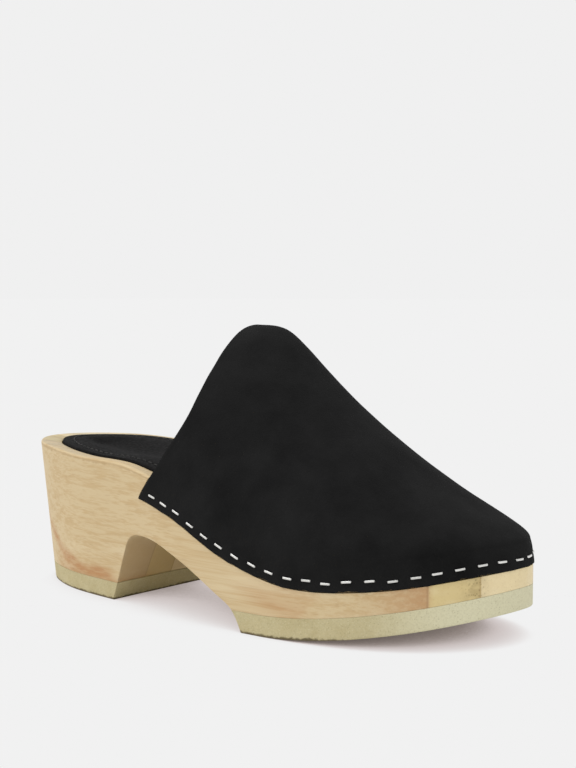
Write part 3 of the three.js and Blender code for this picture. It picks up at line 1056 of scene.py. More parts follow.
@dataclass(frozen=True)
class RubberFinish(Finish):
    """Speckled crepe rubber with a soiled lower edge."""

    name: str = "speckled_crepe"
    roughness: float = 0.8
    specular: float = 0.25
    bump: float = 0.5
    bump_depth: float = 0.0002
    light: Colour = srgb(202, 191, 152)
    deep: Colour = srgb(188, 175, 133)
    pale: Colour = srgb(226, 222, 190)
    pale_speck: Colour = srgb(226, 222, 192)
    dark_speck: Colour = srgb(146, 134, 92)
    soil: Colour = srgb(84, 72, 48)
    pale_speck_share: float = 0.22
    dark_speck_share: float = 0.26
    soil_share: float = 0.85

    def paint(self, graph: Graph, where: bpy.types.NodeSocket) -> dict[str, object]:
        """Lays dark and pale specks over a mottled ground, and soil along the lower edge.

        Args:
            graph: The material's graph.
            where: The place on the object.

        Returns:
            Outputs for Height and for inputs of the shader.
        """
        clouds = {"Vector": where, "Scale": 150.0, "Contrast": 2.2}
        mottle = graph.add("ShaderNodeGroup", clouds, node_tree=mottle_effect())
        small = {"Vector": where, "Scale": 1500.0, "Size": 0.34, "Share": 0.22}
        dark = graph.add("ShaderNodeGroup", small, node_tree=speckle_effect())
        large = {"Vector": where, "Scale": 1900.0, "Size": 0.36, "Share": 0.3}
        pale = graph.add("ShaderNodeGroup", large, node_tree=speckle_effect())
        border = {"Vector": where, "Edge": graph.attribute("edge"), "Scale": 520.0, "Roughness": 1.1}
        soil = graph.add("ShaderNodeGroup", border, node_tree=wear_effect())
        colour = graph.mix(mottle.outputs["Value"], self.deep, self.light)
        colour = graph.mix(graph.attribute("pale"), colour, self.pale)
        grain = graph.noise(where, 1500.0, 3.0)
        colour = graph.mix(graph.remap(grain, 0.4, 0.7, 0.0, 0.14), colour, self.dark_speck)
        layers = (
            (pale, self.pale_speck_share, self.pale_speck),
            (dark, self.dark_speck_share, self.dark_speck),
            (soil, self.soil_share, self.soil),
        )
        for mask, share, tone in layers:
            colour = graph.mix(graph.math("MULTIPLY", mask.outputs["Mask"], share), colour, tone)
        return {"Base Color": colour, "Height": graph.math("SUBTRACT", grain, dark.outputs["Mask"])}


@dataclass(frozen=True)
class SuedeFinish(Finish):
    """Black suede with a short brushed nap, paler where it is cut."""

    name: str = "black_suede"
    roughness: float = 0.95
    specular: float = 0.03
    sheen: float = 0.015
    sheen_roughness: float = 0.7
    bump: float = 0.8
    bump_depth: float = 0.0004
    deep: Colour = srgb(15, 15, 15)
    brushed: Colour = srgb(32, 32, 32)
    cut_colour: Colour = srgb(36, 35, 35)

    def paint(self, graph: Graph, where: bpy.types.NodeSocket) -> dict[str, object]:
        """Brushes the nap into clouds, and shows the paler cut along the edges.

        Args:
            graph: The material's graph.
            where: The place on the object.

        Returns:
            Outputs for Height and for inputs of the shader.
        """
        nap = graph.add("ShaderNodeGroup", {"Vector": where}, node_tree=nap_effect())
        clouds = {"Vector": where, "Scale": 34.0, "Contrast": 3.2}
        mottle = graph.add("ShaderNodeGroup", clouds, node_tree=mottle_effect())
        lie = graph.math("MULTIPLY", mottle.outputs["Value"], 0.6)
        hair = graph.math("MULTIPLY", nap.outputs["Value"], 0.6)
        colour = graph.mix(graph.math("ADD", lie, hair, clamp=True), self.deep, self.brushed)
        border = {"Vector": where, "Edge": graph.attribute("edge"), "Scale": 700.0, "Roughness": 0.6}
        wear = graph.add("ShaderNodeGroup", border, node_tree=wear_effect())
        colour = graph.mix(graph.math("MULTIPLY", wear.outputs["Mask"], 0.6), colour, self.cut_colour)
        return {"Base Color": colour, "Height": nap.outputs["Height"]}


@dataclass(frozen=True)
class SockFinish(Finish):
    """Smooth black lining leather with a low sheen and fine pores."""

    name: str = "lining_leather"
    roughness: float = 0.78
    specular: float = 0.06
    bump: float = 0.5
    bump_depth: float = 0.0002
    deep: Colour = srgb(14, 14, 14)
    rubbed: Colour = srgb(27, 26, 26)

    def paint(self, graph: Graph, where: bpy.types.NodeSocket) -> dict[str, object]:
        """Rubs the leather unevenly and pebbles it.

        Args:
            graph: The material's graph.
            where: The place on the object.

        Returns:
            Outputs for Height and for inputs of the shader.
        """
        clouds = {"Vector": where, "Scale": 60.0, "Contrast": 2.4}
        mottle = graph.add("ShaderNodeGroup", clouds, node_tree=mottle_effect())
        cell = graph.add("ShaderNodeTexVoronoi", {"Vector": where, "Scale": 1300.0}).outputs["Distance"]
        grain = graph.noise(where, 800.0, 4.0)
        colour = graph.mix(mottle.outputs["Value"], self.deep, self.rubbed)
        sheen = graph.remap(grain, 0.3, 0.7, self.roughness - 0.1, self.roughness + 0.12)
        return {"Base Color": colour, "Roughness": sheen, "Height": graph.math("ADD", cell, grain)}


@dataclass(frozen=True)
class ThreadFinish(Finish):
    """Waxed grey thread."""

    name: str = "waxed_thread"
    roughness: float = 0.6
    specular: float = 0.3
    bump: float = 0.4
    light: Colour = srgb(66, 64, 62)
    deep: Colour = srgb(30, 30, 30)

    def paint(self, graph: Graph, where: bpy.types.NodeSocket) -> dict[str, object]:
        """Varies the thread from stitch to stitch.

        Args:
            graph: The material's graph.
            where: The place on the object.

        Returns:
            Outputs for Height and for inputs of the shader.
        """
        clouds = {"Vector": where, "Scale": 150.0, "Contrast": 3.5}
        mottle = graph.add("ShaderNodeGroup", clouds, node_tree=mottle_effect())
        colour = graph.mix(mottle.outputs["Value"], self.deep, self.light)
        return {"Base Color": colour, "Height": graph.noise(where, 4000.0, 1.0)}


@dataclass(frozen=True)
class SteelFinish(Finish):
    """Bright staple wire, a little scratched."""

    name: str = "staple_wire"
    roughness: float = 0.32
    metallic: float = 1.0
    bump: float = 0.2
    bump_depth: float = 0.00005
    bright: Colour = srgb(244, 243, 240)
    dull: Colour = srgb(206, 205, 201)

    def paint(self, graph: Graph, where: bpy.types.NodeSocket) -> dict[str, object]:
        """Dulls the wire in patches and scratches it.

        Args:
            graph: The material's graph.
            where: The place on the object.

        Returns:
            Outputs for Height and for inputs of the shader.
        """
        clouds = {"Vector": where, "Scale": 90.0, "Contrast": 3.0}
        mottle = graph.add("ShaderNodeGroup", clouds, node_tree=mottle_effect())
        scratch = graph.noise(graph.stretch(where, (1.0, 1.0, 9.0)), 1400.0, 3.0)
        colour = graph.mix(mottle.outputs["Value"], self.dull, self.bright)
        worn = graph.remap(scratch, 0.3, 0.7, self.roughness - 0.08, self.roughness + 0.16)
        return {"Base Color": colour, "Roughness": worn, "Height": scratch}


@dataclass(frozen=True)
class FloorFinish(Finish):
    """The plain pale floor: it glows to the camera in an even tone, with a painted shadow kept close under
    the clog.
    """

    name: str = "pale_floor"
    roughness: float = 0.9
    specular: float = 0.0
    bump: float = 0.02
    emission: float = 1.0
    pale: Colour = (0.8, 0.8, 0.8, 1.0)
    clear: Colour = srgb(241, 241, 241)
    faint_shadow: Colour = srgb(224, 219, 218)
    soft: Colour = srgb(202, 192, 190)
    dense_shadow: Colour = srgb(142, 131, 125)
    contact_shadow: Colour = srgb(70, 62, 56)
    shadow_reach: float = 0.07
    openness: tuple[float, ...] = (0.0, 0.06, 0.14, 0.36, 0.57)

    def paint(self, graph: Graph, where: bpy.types.NodeSocket) -> dict[str, object]:
        """Lights objects like a white floor, and glows to the camera in an even tone with a soft painted
        shadow.

        Args:
            graph: The material's graph.
            where: The place on the object.

        Returns:
            Outputs for Height and for inputs of the shader.
        """
        black = (0.0, 0.0, 0.0, 1.0)
        # To the camera the floor glows: an even tone, darkened into painted shadow where the occlusion is
        # high.
        seen = graph.add("ShaderNodeLightPath").outputs["Is Camera Ray"]
        reach = {"Distance": self.shadow_reach}
        above = graph.add("ShaderNodeAmbientOcclusion", reach, samples=32).outputs["AO"]
        tones = (self.contact_shadow, self.dense_shadow, self.soft, self.faint_shadow, self.clear)
        stops = list(zip(self.openness, tones))
        return {
            "Base Color": graph.mix(seen, self.pale, black),
            "Emission Color": graph.mix(seen, black, graph.ramp(above, stops)),
            "Height": graph.noise(where, 60.0, 1.0),
        }


# The parts of the clog


def dress(piece: bpy.types.Object, finish: Finish, slot: Slot, *nodes: str) -> bpy.types.Object:
    """Gives a piece its material and ties it to the solids.

    Args:
        piece: The piece, in place.
        finish: Its finish.
        slot: The record's slot that the finish belongs to; not used.
        nodes: The solids that it stands for.

    Returns:
        The piece.
    """
    piece.data.materials.clear()
    piece.data.materials.append(finish.material())
    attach(piece, BODY)
    if nodes:
        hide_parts(*nodes)
    return piece


@dataclass(frozen=True)
class WoodFigure:
    """Where heartwood, stains and the painted shade on the top at the back of the heel lie. A pair is where a
    mark, or its fading, starts and ends.
    """

    outer_face: tuple[float, float] = (0.012, 0.024)
    band_height: float = 0.0110
    band_rise: float = 0.0115
    band_turn: float = 0.060
    band_run: float = 0.033
    band_width: float = 0.0022
    band_start: tuple[float, float] = (0.014, 0.024)
    band_end: tuple[float, float] = (0.070, 0.082)
    under_start: tuple[float, float] = (0.024, 0.045)
    under_end: tuple[float, float] = (0.078, 0.084)
    under_top: tuple[float, float] = (-0.001, 0.003)
    under_share: float = 0.6
    waver: float = 0.0012
    streak_height: float = 0.0165
    streak_from: float = 0.165
    streak_fall: float = 0.22
    streak_start: tuple[float, float] = (0.146, 0.172)
    streak_end: tuple[float, float] = (0.184, 0.190)
    streak_above: float = 0.0040
    streak_top_blur: float = 0.005
    streak_below: float = 0.0055
    streak_low_blur: float = 0.004
    streak_share: float = 0.3
    wash_start: tuple[float, float] = (0.152, 0.178)
    wash_end: tuple[float, float] = (0.185, 0.190)
    wash_share: float = 0.24
    border_lean: float = 0.88
    border_height: float = 0.0115
    toe_start: tuple[float, float] = (0.200, 0.2325)
    toe_board: tuple[float, float] = (0.0214, 0.0222)
    toe_power: float = 1.6
    toe_share: float = 0.75
    spots_across: float = -0.0085
    spots_width: float = 0.0036
    spots_start: tuple[float, float] = (0.222, 0.234)
    corner_across: float = 0.012
    corner_width: float = 0.004
    corner_start: tuple[float, float] = (0.236, 0.244)
    corner_share: float = 0.12
    breast: tuple[float, float] = (0.07, 0.1)
    painted_heel_shade_end: tuple[float, float] = (0.02, 0.09)
    rim_wear_drop: float = 0.0013
    rim_wear_width: float = 0.0008
    rim_wear_share: float = 0.8
    low_wear_reach: float = 0.0011
    low_wear_share: float = 0.12


@dataclass
class WoodenBase:
    """The one-piece wooden sole with its heel, its hollow footbed and the rabbet for the vamp."""

    last: Last
    finish: WoodFinish = WoodFinish()
    marks: WoodFigure = WoodFigure()
    edge_round: float = 0.0012
    lower_round: float = 0.00015
    recess: float = 0.0023
    lift_thickness: float = 0.0076
    tread_thickness: float = 0.008
    glue_line: float = 0.0003
    wide_step: float = 0.0014
    fine_step: float = 0.0006
    side_rows: int = 26
    steep_parts: tuple[tuple[float, float], ...] = ((0.074, 0.096), (0.148, 0.160))
    arch_part: tuple[float, float] = (0.07, 0.17)
    steepest: float = 4.0
    cutter_columns: int = 150

    def underside(self, x: np.ndarray) -> np.ndarray:
        """Works out how high the wood's underside lies.

        Args:
            x: Places along the shoe, from the back of the heel.

        Returns:
            The heights.
        """
        arch_x, arch_z = self.last.arch_line()
        heel = self.lift_thickness + self.glue_line
        front = self.tread_thickness + self.glue_line + self.last.spring(x)
        middle = (arch_x[0] + arch_x[-1]) / 2
        rest = np.where(x < middle, heel, front)
        return np.maximum(rest, np.interp(x, arch_x, arch_z, left=0.0, right=0.0))

    def columns(self) -> tuple[np.ndarray, np.ndarray]:
        """Spaces columns round the shoe, closer where the arch is steep.

        Returns:
            Their sides and stations.
        """
        stations = np.linspace(0, 1, 4001)
        edge = np.stack([self.last.outline_point(s.value, stations, 0.0, 0.0) for s in Side])
        run = np.linalg.norm(np.diff(edge, axis=1), axis=-1).max(axis=0)
        x = self.last.along(stations)[1:]
        steep = np.any([(x > start) & (x < end) for start, end in self.steep_parts], axis=0)
        count = np.concatenate([[0], np.cumsum(run / np.where(steep, self.fine_step, self.wide_step))])
        total = int(round(count[-1]))
        half = np.interp(np.linspace(0, count[-1], total + 1), count, stations)
        station = np.concatenate([half, half[-2:0:-1]])
        side = np.where(np.arange(len(station)) <= total, Side.OUTER.value, Side.INNER.value)
        return side, station

    def rings(self) -> np.ndarray:
        """Lays rings of points from the middle of the underside round to the middle of the footbed.

        Returns:
            The rings, with one point for each column.
        """
        last = self.last
        side, station = self.columns()
        x = last.along(station)
        spine = last.spine_point(station)
        nudge = 1e-4
        slope = (self.underside(x + nudge) - self.underside(x - nudge)) / (2 * nudge)
        slope = np.clip(slope, -self.steepest, self.steepest)
        normal = np.stack([slope, -np.ones_like(slope)], 1) / np.sqrt(1 + slope**2)[:, None]
        per_x = np.gradient(station, np.where(side < 0, x, -x)) * np.where(side < 0, 1, -1)
        arched = (x > self.arch_part[0]) & (x < self.arch_part[1])
        rings = []

        def rounded(angle: float) -> np.ndarray:
            """Lays one ring on the rounding between the underside and the side.

            Args:
                angle: 0 below and 90 degrees at the side.

            Returns:
                The ring.
            """
            inset = self.lower_round * (1 - math.sin(math.radians(angle)))
            up = self.lower_round * (1 - math.cos(math.radians(angle)))
            lean = np.where(arched, -normal[:, 0] * up, 0.0)
            moved = station + lean * np.where(arched, np.abs(per_x), 0.0)
            z = self.underside(x) - normal[:, 1] * up
            return last.side_point(side, moved, inset, z)

        low = rounded(0)
        for share in np.linspace(1, 0, 13)[:-1]:
            ring = low + share * (spine - low)
            ring[:, 2] = self.underside(ring[:, 0])
            rings.append(ring)
        rings += [rounded(angle) for angle in (0, 30, 60, 90)]
        bottom = rings[-1]
        top_z = last.rim_height(x) - self.edge_round
        for share in np.linspace(0, 1, self.side_rows + 1)[1:]:
            z = bottom[:, 2] + share * (top_z - bottom[:, 2])
            lean = np.where(arched, (1 - share) * (bottom[:, 0] - x), 0.0)
            moved = station + lean * np.where(arched, np.abs(per_x), 0.0)
            rings.append(last.side_point(side, moved, 0.0, z))
        for angle in (22.5, 45, 67.5, 90):
            inset = self.edge_round * (1 - math.cos(math.radians(angle)))
            z = last.rim_height(x) - self.edge_round * (1 - math.sin(math.radians(angle)))
            rings.append(last.side_point(side, station, inset, z))
        edge, bed = rings[-1], last.footbed_point(side, station, 0.0, 0.0, 0.0)
        rings += [edge + share * (bed - edge) for share in (0.33, 0.67, 0.94)]
        rings.append(bed - np.array([0, 0, 0.0003]))
        shares = np.linspace(0, 1, 9)
        rings += [last.footbed_point(side, station, share, 0.0, self.recess) for share in shares]
        return np.stack(rings)

    def rabbet(self, vamp: "Vamp") -> bpy.types.Object:
        """Makes the cutter for the step in the side of the wood that the foot of the vamp lies in.

        Args:
            vamp: The vamp.

        Returns:
            The cutter.
        """
        last = self.last
        depth = vamp.wall - vamp.proud + vamp.seat_clearance
        ease = vamp.rim_ease
        levels = (
            (0.0, -vamp.seat_clearance, depth),
            (0.25, 0.0, depth),
            (0.5, 0.0, depth),
            (1 - ease / last.overlap, 0.0, depth),
            (1.0, 0.0, depth + ease),
            (1.0, last.overlap, depth + ease),
        )
        grids = []
        for reach in (-last.overlap, None):
            rows = []
            for row, lift, inset in levels:
                side, station = last.vamp_columns(row, vamp.proud, self.cutter_columns)
                per_station = (last.along(station) - last.along(station - 1e-3)) / 1e-3
                station = station.copy()
                station[[0, -1]] -= vamp.throat_clearance / per_station[[0, -1]]
                x = last.along(station)
                z = last.seat_height(x) + row * (last.rim_height(x) - last.seat_height(x)) + lift
                into = (inset if reach is None else reach) + last.lean(x) * row**2
                rows.append(last.side_point(side, station, into, z))
            grids.append(np.stack(rows))
        rows, columns = grids[0].shape[:2]
        faces = grid_faces(rows, columns, False)
        count = rows * columns
        index = np.arange(count).reshape(rows, columns)
        loop = np.concatenate([index[0], index[1:-1, -1], index[-1, ::-1], index[1:-1, 0][::-1]])
        strip = np.stack([loop, np.roll(loop, -1), np.roll(loop, -1) + count, loop + count], 1)
        points = np.concatenate([g.reshape(-1, 3) for g in grids])
        every = np.vstack([faces, faces[:, ::-1] + count, strip])
        return make_piece("rabbet_cutter", last.placed(points), every)

    def build(self, vamp: "Vamp") -> bpy.types.Object:
        """Builds the wood and marks its figure.

        Args:
            vamp: The vamp, which the rabbet is cut for.

        Returns:
            The piece.
        """
        rings = self.rings()
        faces = grid_faces(*rings.shape[:2], True)
        piece = make_piece("wooden_sole", self.last.placed(rings), faces)
        cut(piece, self.rabbet(vamp))
        self.figure(piece)
        return dress(piece, self.finish, Slot.WOOD, "wooden_base")

    def figure(self, piece: bpy.types.Object) -> None:
        """Marks heartwood, stains, end grain with painted shade on the breast, painted shade on the top at
        the back of the heel, and worn edges at the wood's corners.

        Args:
            piece: The wood.
        """
        last, marks = self.last, self.marks
        points = places(piece) - np.array([*last.origin, 0.0])
        x, y, z = points.T
        normal = np.abs(facing(piece))
        upward = facing(piece)[:, 2]
        board = y + self.finish.skew * (x + last.origin[0])
        outer = smoothstep(-y, *marks.outer_face)
        mark(piece, "heartwood", self.heartwood(points, board) * outer)
        spots = bell(board - marks.spots_across, marks.spots_width) * smoothstep(x, *marks.spots_start)
        corner = bell(board - marks.corner_across, marks.corner_width) * smoothstep(x, *marks.corner_start)
        mark(piece, "stain", np.clip(spots + marks.corner_share * corner, 0, 1))
        breast = (x > marks.breast[0]) & (x < marks.breast[1]) & (normal[:, 1] < 0.4)
        # End grain and painted shade in one, on the breast faces under the arch.
        mark(piece, "end_grain_and_shade", smoothstep(normal[:, 0], 0.55, 0.95) * breast)
        # Painted shade on the upward faces at the back of the heel.
        mark(piece, "painted_heel_shade", smoothstep(upward, 0.6, 0.9) * (1 - smoothstep(x, *marks.painted_heel_shade_end)))
        mark(piece, "end_face", smoothstep(normal[:, 0], 0.35, 0.7))
        rim = bell(last.rim_height(x) - marks.rim_wear_drop - z, marks.rim_wear_width)
        low = np.exp(-np.maximum(0, z - self.underside(x)) / marks.low_wear_reach) * (normal[:, 1] > 0.3)
        mark(piece, "edge", np.clip(marks.rim_wear_share * rim + marks.low_wear_share * low, 0, 1))

    def heartwood(self, points: np.ndarray, board: np.ndarray) -> np.ndarray:
        """Works out where the outer side shows heartwood.

        Args:
            points: The wood's corners, measured from the back of the heel.
            board: Their places across the boards.

        Returns:
            A value from 0 to 1 for each corner.
        """
        marks = self.marks
        x, _, z = points.T
        curl = np.maximum(0, marks.band_turn - x) / marks.band_run
        band = marks.band_height + marks.band_rise * curl**2 + marks.waver * rough(points, 0.009, 3.0)
        heel = bell(z - band, marks.band_width) * smoothstep(x, *marks.band_start)
        heel *= 1 - smoothstep(x, *marks.band_end)
        under = smoothstep(band - z, *marks.under_top) * smoothstep(x, *marks.under_start)
        under *= marks.under_share * (1 - smoothstep(x, *marks.under_end))
        fall = marks.streak_height - marks.streak_fall * (x - marks.streak_from)
        fall += marks.waver * rough(points, 0.012, 9.0)
        ahead = x - marks.border_lean * (z - marks.border_height)
        streak = smoothstep(fall + marks.streak_above - z, 0, marks.streak_top_blur)
        streak *= smoothstep(z - fall + marks.streak_below, 0, marks.streak_low_blur)
        streak *= smoothstep(x, *marks.streak_start) * (1 - smoothstep(ahead, *marks.streak_end))
        wash = smoothstep(x, *marks.wash_start) * (1 - smoothstep(ahead, *marks.wash_end))
        toe = smoothstep(x, *marks.toe_start) ** marks.toe_power * smoothstep(-board, *marks.toe_board)
        shares = marks.streak_share * streak + marks.wash_share * wash + marks.toe_share * toe
        return np.clip(heel + under + shares, 0, 1)


@dataclass
class RubberUnits:
    """The lift under the heel and the tread under the forefoot."""

    last: Last
    finish: RubberFinish = RubberFinish()
    lift_thickness: float = 0.0076
    tread_thickness: float = 0.008
    glue_squeeze: float = 0.00028
    lower_round: float = 0.0005
    nibble: float = 0.00042
    nibble_place: float = 0.172
    nibble_span: float = 0.03
    soil_height: float = 0.0009
    soil_end: tuple[float, float] = (0.185, 0.215)
    pale_start: tuple[float, float] = (0.205, 0.242)
    columns: int = 230

    def unit(self, name: str, node: str, thickness: float, toe: bool) -> bpy.types.Object:
        """Builds one unit.

        Args:
            name: The piece's name.
            node: The solid that it stands for.
            thickness: Its thickness.
            toe: Whether it runs from the arch to the toe, or from the arch back to the heel.

        Returns:
            The piece.
        """
        last = self.last
        arch_x, arch_z = last.arch_line()
        crown = int(np.argmax(arch_z))
        count = self.columns
        top = thickness + self.glue_squeeze

        def ring(height: float, inset: float) -> tuple[np.ndarray, np.ndarray]:
            """Lays a ring round the unit.

            Args:
                height: The height above the lower face.
                inset: The distance inwards.

            Returns:
                The points of the ring and those of the spine beside them.
            """
            if toe:
                end = np.interp(height, arch_z[crown:][::-1], arch_x[crown:][::-1])
                stations = np.linspace(float(last.station_at(end)), 1, count + 1)
            else:
                end = np.interp(height, arch_z[: crown + 1], arch_x[: crown + 1])
                stations = np.linspace(float(last.station_at(end)), 0, count + 1)
            station = np.concatenate([stations, stations[-2::-1]])
            side = np.where(np.arange(len(station)) <= count, Side.OUTER.value, Side.INNER.value)
            rise = last.spring(last.along(station)) if toe else 0.0
            points = last.side_point(side, station, inset, height + rise)
            points[:, 2] = height + (last.spring(points[:, 0]) if toe else 0.0)
            return points, last.spine_point(station)

        rings = []

        def fill(height: float, inset: float, shares: Iterable[float]) -> None:
            """Adds the rings of a flat face.

            Args:
                height: The height above the lower face.
                inset: The distance inwards.
                shares: How far each ring lies from the edge to the spine.
            """
            points, spine = ring(height, inset)
            for share in shares:
                part = points + share * (spine - points)
                part[:, 2] = height + (last.spring(part[:, 0]) if toe else 0.0)
                rings.append(part)

        fill(0.0, self.lower_round, np.linspace(1, 0, 8))
        for angle in (30, 60, 90):
            inset = self.lower_round * (1 - math.sin(math.radians(angle)))
            rings.append(ring(self.lower_round * (1 - math.cos(math.radians(angle))), inset)[0])
        for share in np.linspace(0, 1, 8)[1:]:
            rings.append(ring(self.lower_round + share * (top - self.lower_round), 0.0)[0])
        fill(top, 0.0, np.linspace(0, 1, 8)[1:])
        rings = np.stack(rings)
        piece = make_piece(name, last.placed(rings), grid_faces(*rings.shape[:2], True), 50)
        points = places(piece)
        x = points[:, 0] - last.origin[0]
        height = points[:, 2] - (last.spring(x) if toe else 0.0)
        normal = facing(piece)
        sideways = np.linalg.norm(normal[:, :2], axis=1)
        bite = np.clip(rough(points, 0.0016, 5.0) + 0.4 * rough(points, 0.0007, 8.0), -1, 0.4)
        lowest = np.exp(-height / self.soil_height)
        near = lowest * smoothstep(sideways, 0.3, 0.7)
        near *= 0.1 + 0.9 * bell(x - self.nibble_place, self.nibble_span)
        points[:, :2] += normal[:, :2] * (self.nibble * bite * near)[:, None]
        move(piece, points)
        x = points[:, 0] - last.origin[0]
        worn = 1.25 - 1.1 * smoothstep(x, *self.soil_end)
        mark(piece, "edge", np.clip(worn * lowest * (sideways > 0.25), 0, 1))
        mark(piece, "pale", 0.85 * smoothstep(x, *self.pale_start))
        return dress(piece, self.finish, Slot.RUBBER, node)

    def build(self) -> list[bpy.types.Object]:
        """Builds both units.

        Returns:
            The two pieces.
        """
        return [
            self.unit("rubber_heel_lift", "heel_lift", self.lift_thickness, False),
            self.unit("rubber_forefoot_tread", "forefoot_tread", self.tread_thickness, True),
        ]


@dataclass
class Staples:
    """The row of wire staples that holds the foot of the vamp."""

    last: Last
    finish: SteelFinish = SteelFinish()
    count: int = 41
    length: float = 0.0036
    width: float = 0.00085
    height: float = 0.0005
    lift: float = 0.0035
    margin: float = 0.0063
    leg: float = 0.0013
    bend: float = 0.00035
    seed: int = 11
    tilt_spread: float = 2.4
    along_spread: float = 0.00035
    up_spread: float = 0.00025
    out_spread: float = 0.0001
    nearby: float = 0.003
    line_columns: int = 28
    wire_sides: int = 12
    flatness: float = 0.6

    def seats(self, proud: float) -> list[Matrix]:
        """Finds the place of each staple.

        Args:
            proud: How far the face of the vamp stands out from the wood.

        Returns:
            A matrix for each, with x along the crown, y up the side and z out of the leather.
        """
        last = self.last
        row = self.lift / last.overlap
        side, station = last.vamp_columns(row, proud, self.line_columns)
        x = last.along(station)
        line = last.side_point(side, station, last.lean(x) * row**2 - proud, last.seat_height(x) + self.lift)
        line = last.placed(line)
        run = np.concatenate([[0], np.cumsum(np.linalg.norm(np.diff(line, axis=0), axis=1))])
        draw = np.random.default_rng(self.seed)
        seats = []
        for at in np.linspace(self.margin, run[-1] - self.margin, self.count):
            here, ahead, behind = (
                Vector([np.interp(at + step, run, line[:, k]) for k in range(3)])
                for step in (0, self.nearby, -self.nearby)
            )
            along = (ahead - behind).normalized()
            out = Vector((along.y, -along.x, 0)).normalized()
            up = out.cross(along)
            tilt = Matrix.Rotation(math.radians(draw.normal(0, self.tilt_spread)), 4, "Z")
            spreads = ((0, self.along_spread), (0, self.up_spread), (self.out_spread, self.out_spread))
            sink = Vector([draw.normal(middle, spread) for middle, spread in spreads])
            axes = Matrix((along, up, out)).transposed().to_4x4()
            seats.append(Matrix.Translation(here) @ axes @ tilt @ Matrix.Translation(sink))
        return seats

    def wire(self) -> tuple[np.ndarray, list[tuple[int, ...]]]:
        """Sweeps the flat wire through its two bends.

        Returns:
            The corners, round after round, and the faces.
        """
        half = self.length / 2 - self.bend
        left = [(-half - self.bend, -self.leg)]
        for k in range(5):
            a = math.radians(22.5 * k)
            left.append((-half - self.bend * math.cos(a), self.bend * (math.sin(a) - 1)))
        left.append((0.0, 0.0))
        line = left + [(-x, z) for x, z in left[-2::-1]]
        section = []
        for k in range(self.wire_sides):
            a = 2 * math.pi * (k + 0.5) / self.wire_sides
            across, out = (math.copysign(abs(v) ** self.flatness, v) for v in (math.cos(a), math.sin(a)))
            section.append((self.width / 2 * across, self.height / 2 * out))
        rounds = []
        for k, (x, z) in enumerate(line):
            before, after = line[max(0, k - 1)], line[min(len(line) - 1, k + 1)]
            way = Vector((after[0] - before[0], 0, after[1] - before[1])).normalized()
            out = Vector((-way.z, 0, way.x))
            rounds.append([tuple(Vector((x, 0, z)) + Vector((0, w, 0)) + out * h) for w, h in section])
        points = np.array(rounds)
        size = len(section)
        faces = [tuple(f) for f in grid_faces(len(line), size, True)]
        faces += [tuple(range(size))[::-1], tuple(range(size * (len(line) - 1), size * len(line)))]
        return points, faces

    def build(self, proud: float) -> list[bpy.types.Object]:
        """Builds every staple, each for its own solid.

        Args:
            proud: How far the face of the vamp stands out from the wood.

        Returns:
            The pieces.
        """
        points, faces = self.wire()
        made = []
        for k, seat in enumerate(self.seats(proud), 1):
            flat = points.reshape(-1, 3)
            spread = np.array([tuple(seat @ Vector(p)) for p in flat])
            piece = make_piece(f"staple_wire_{k:02d}", spread, faces, 50)
            made.append(dress(piece, self.finish, Slot.STEEL, f"staple_{k:02d}"))
        return made


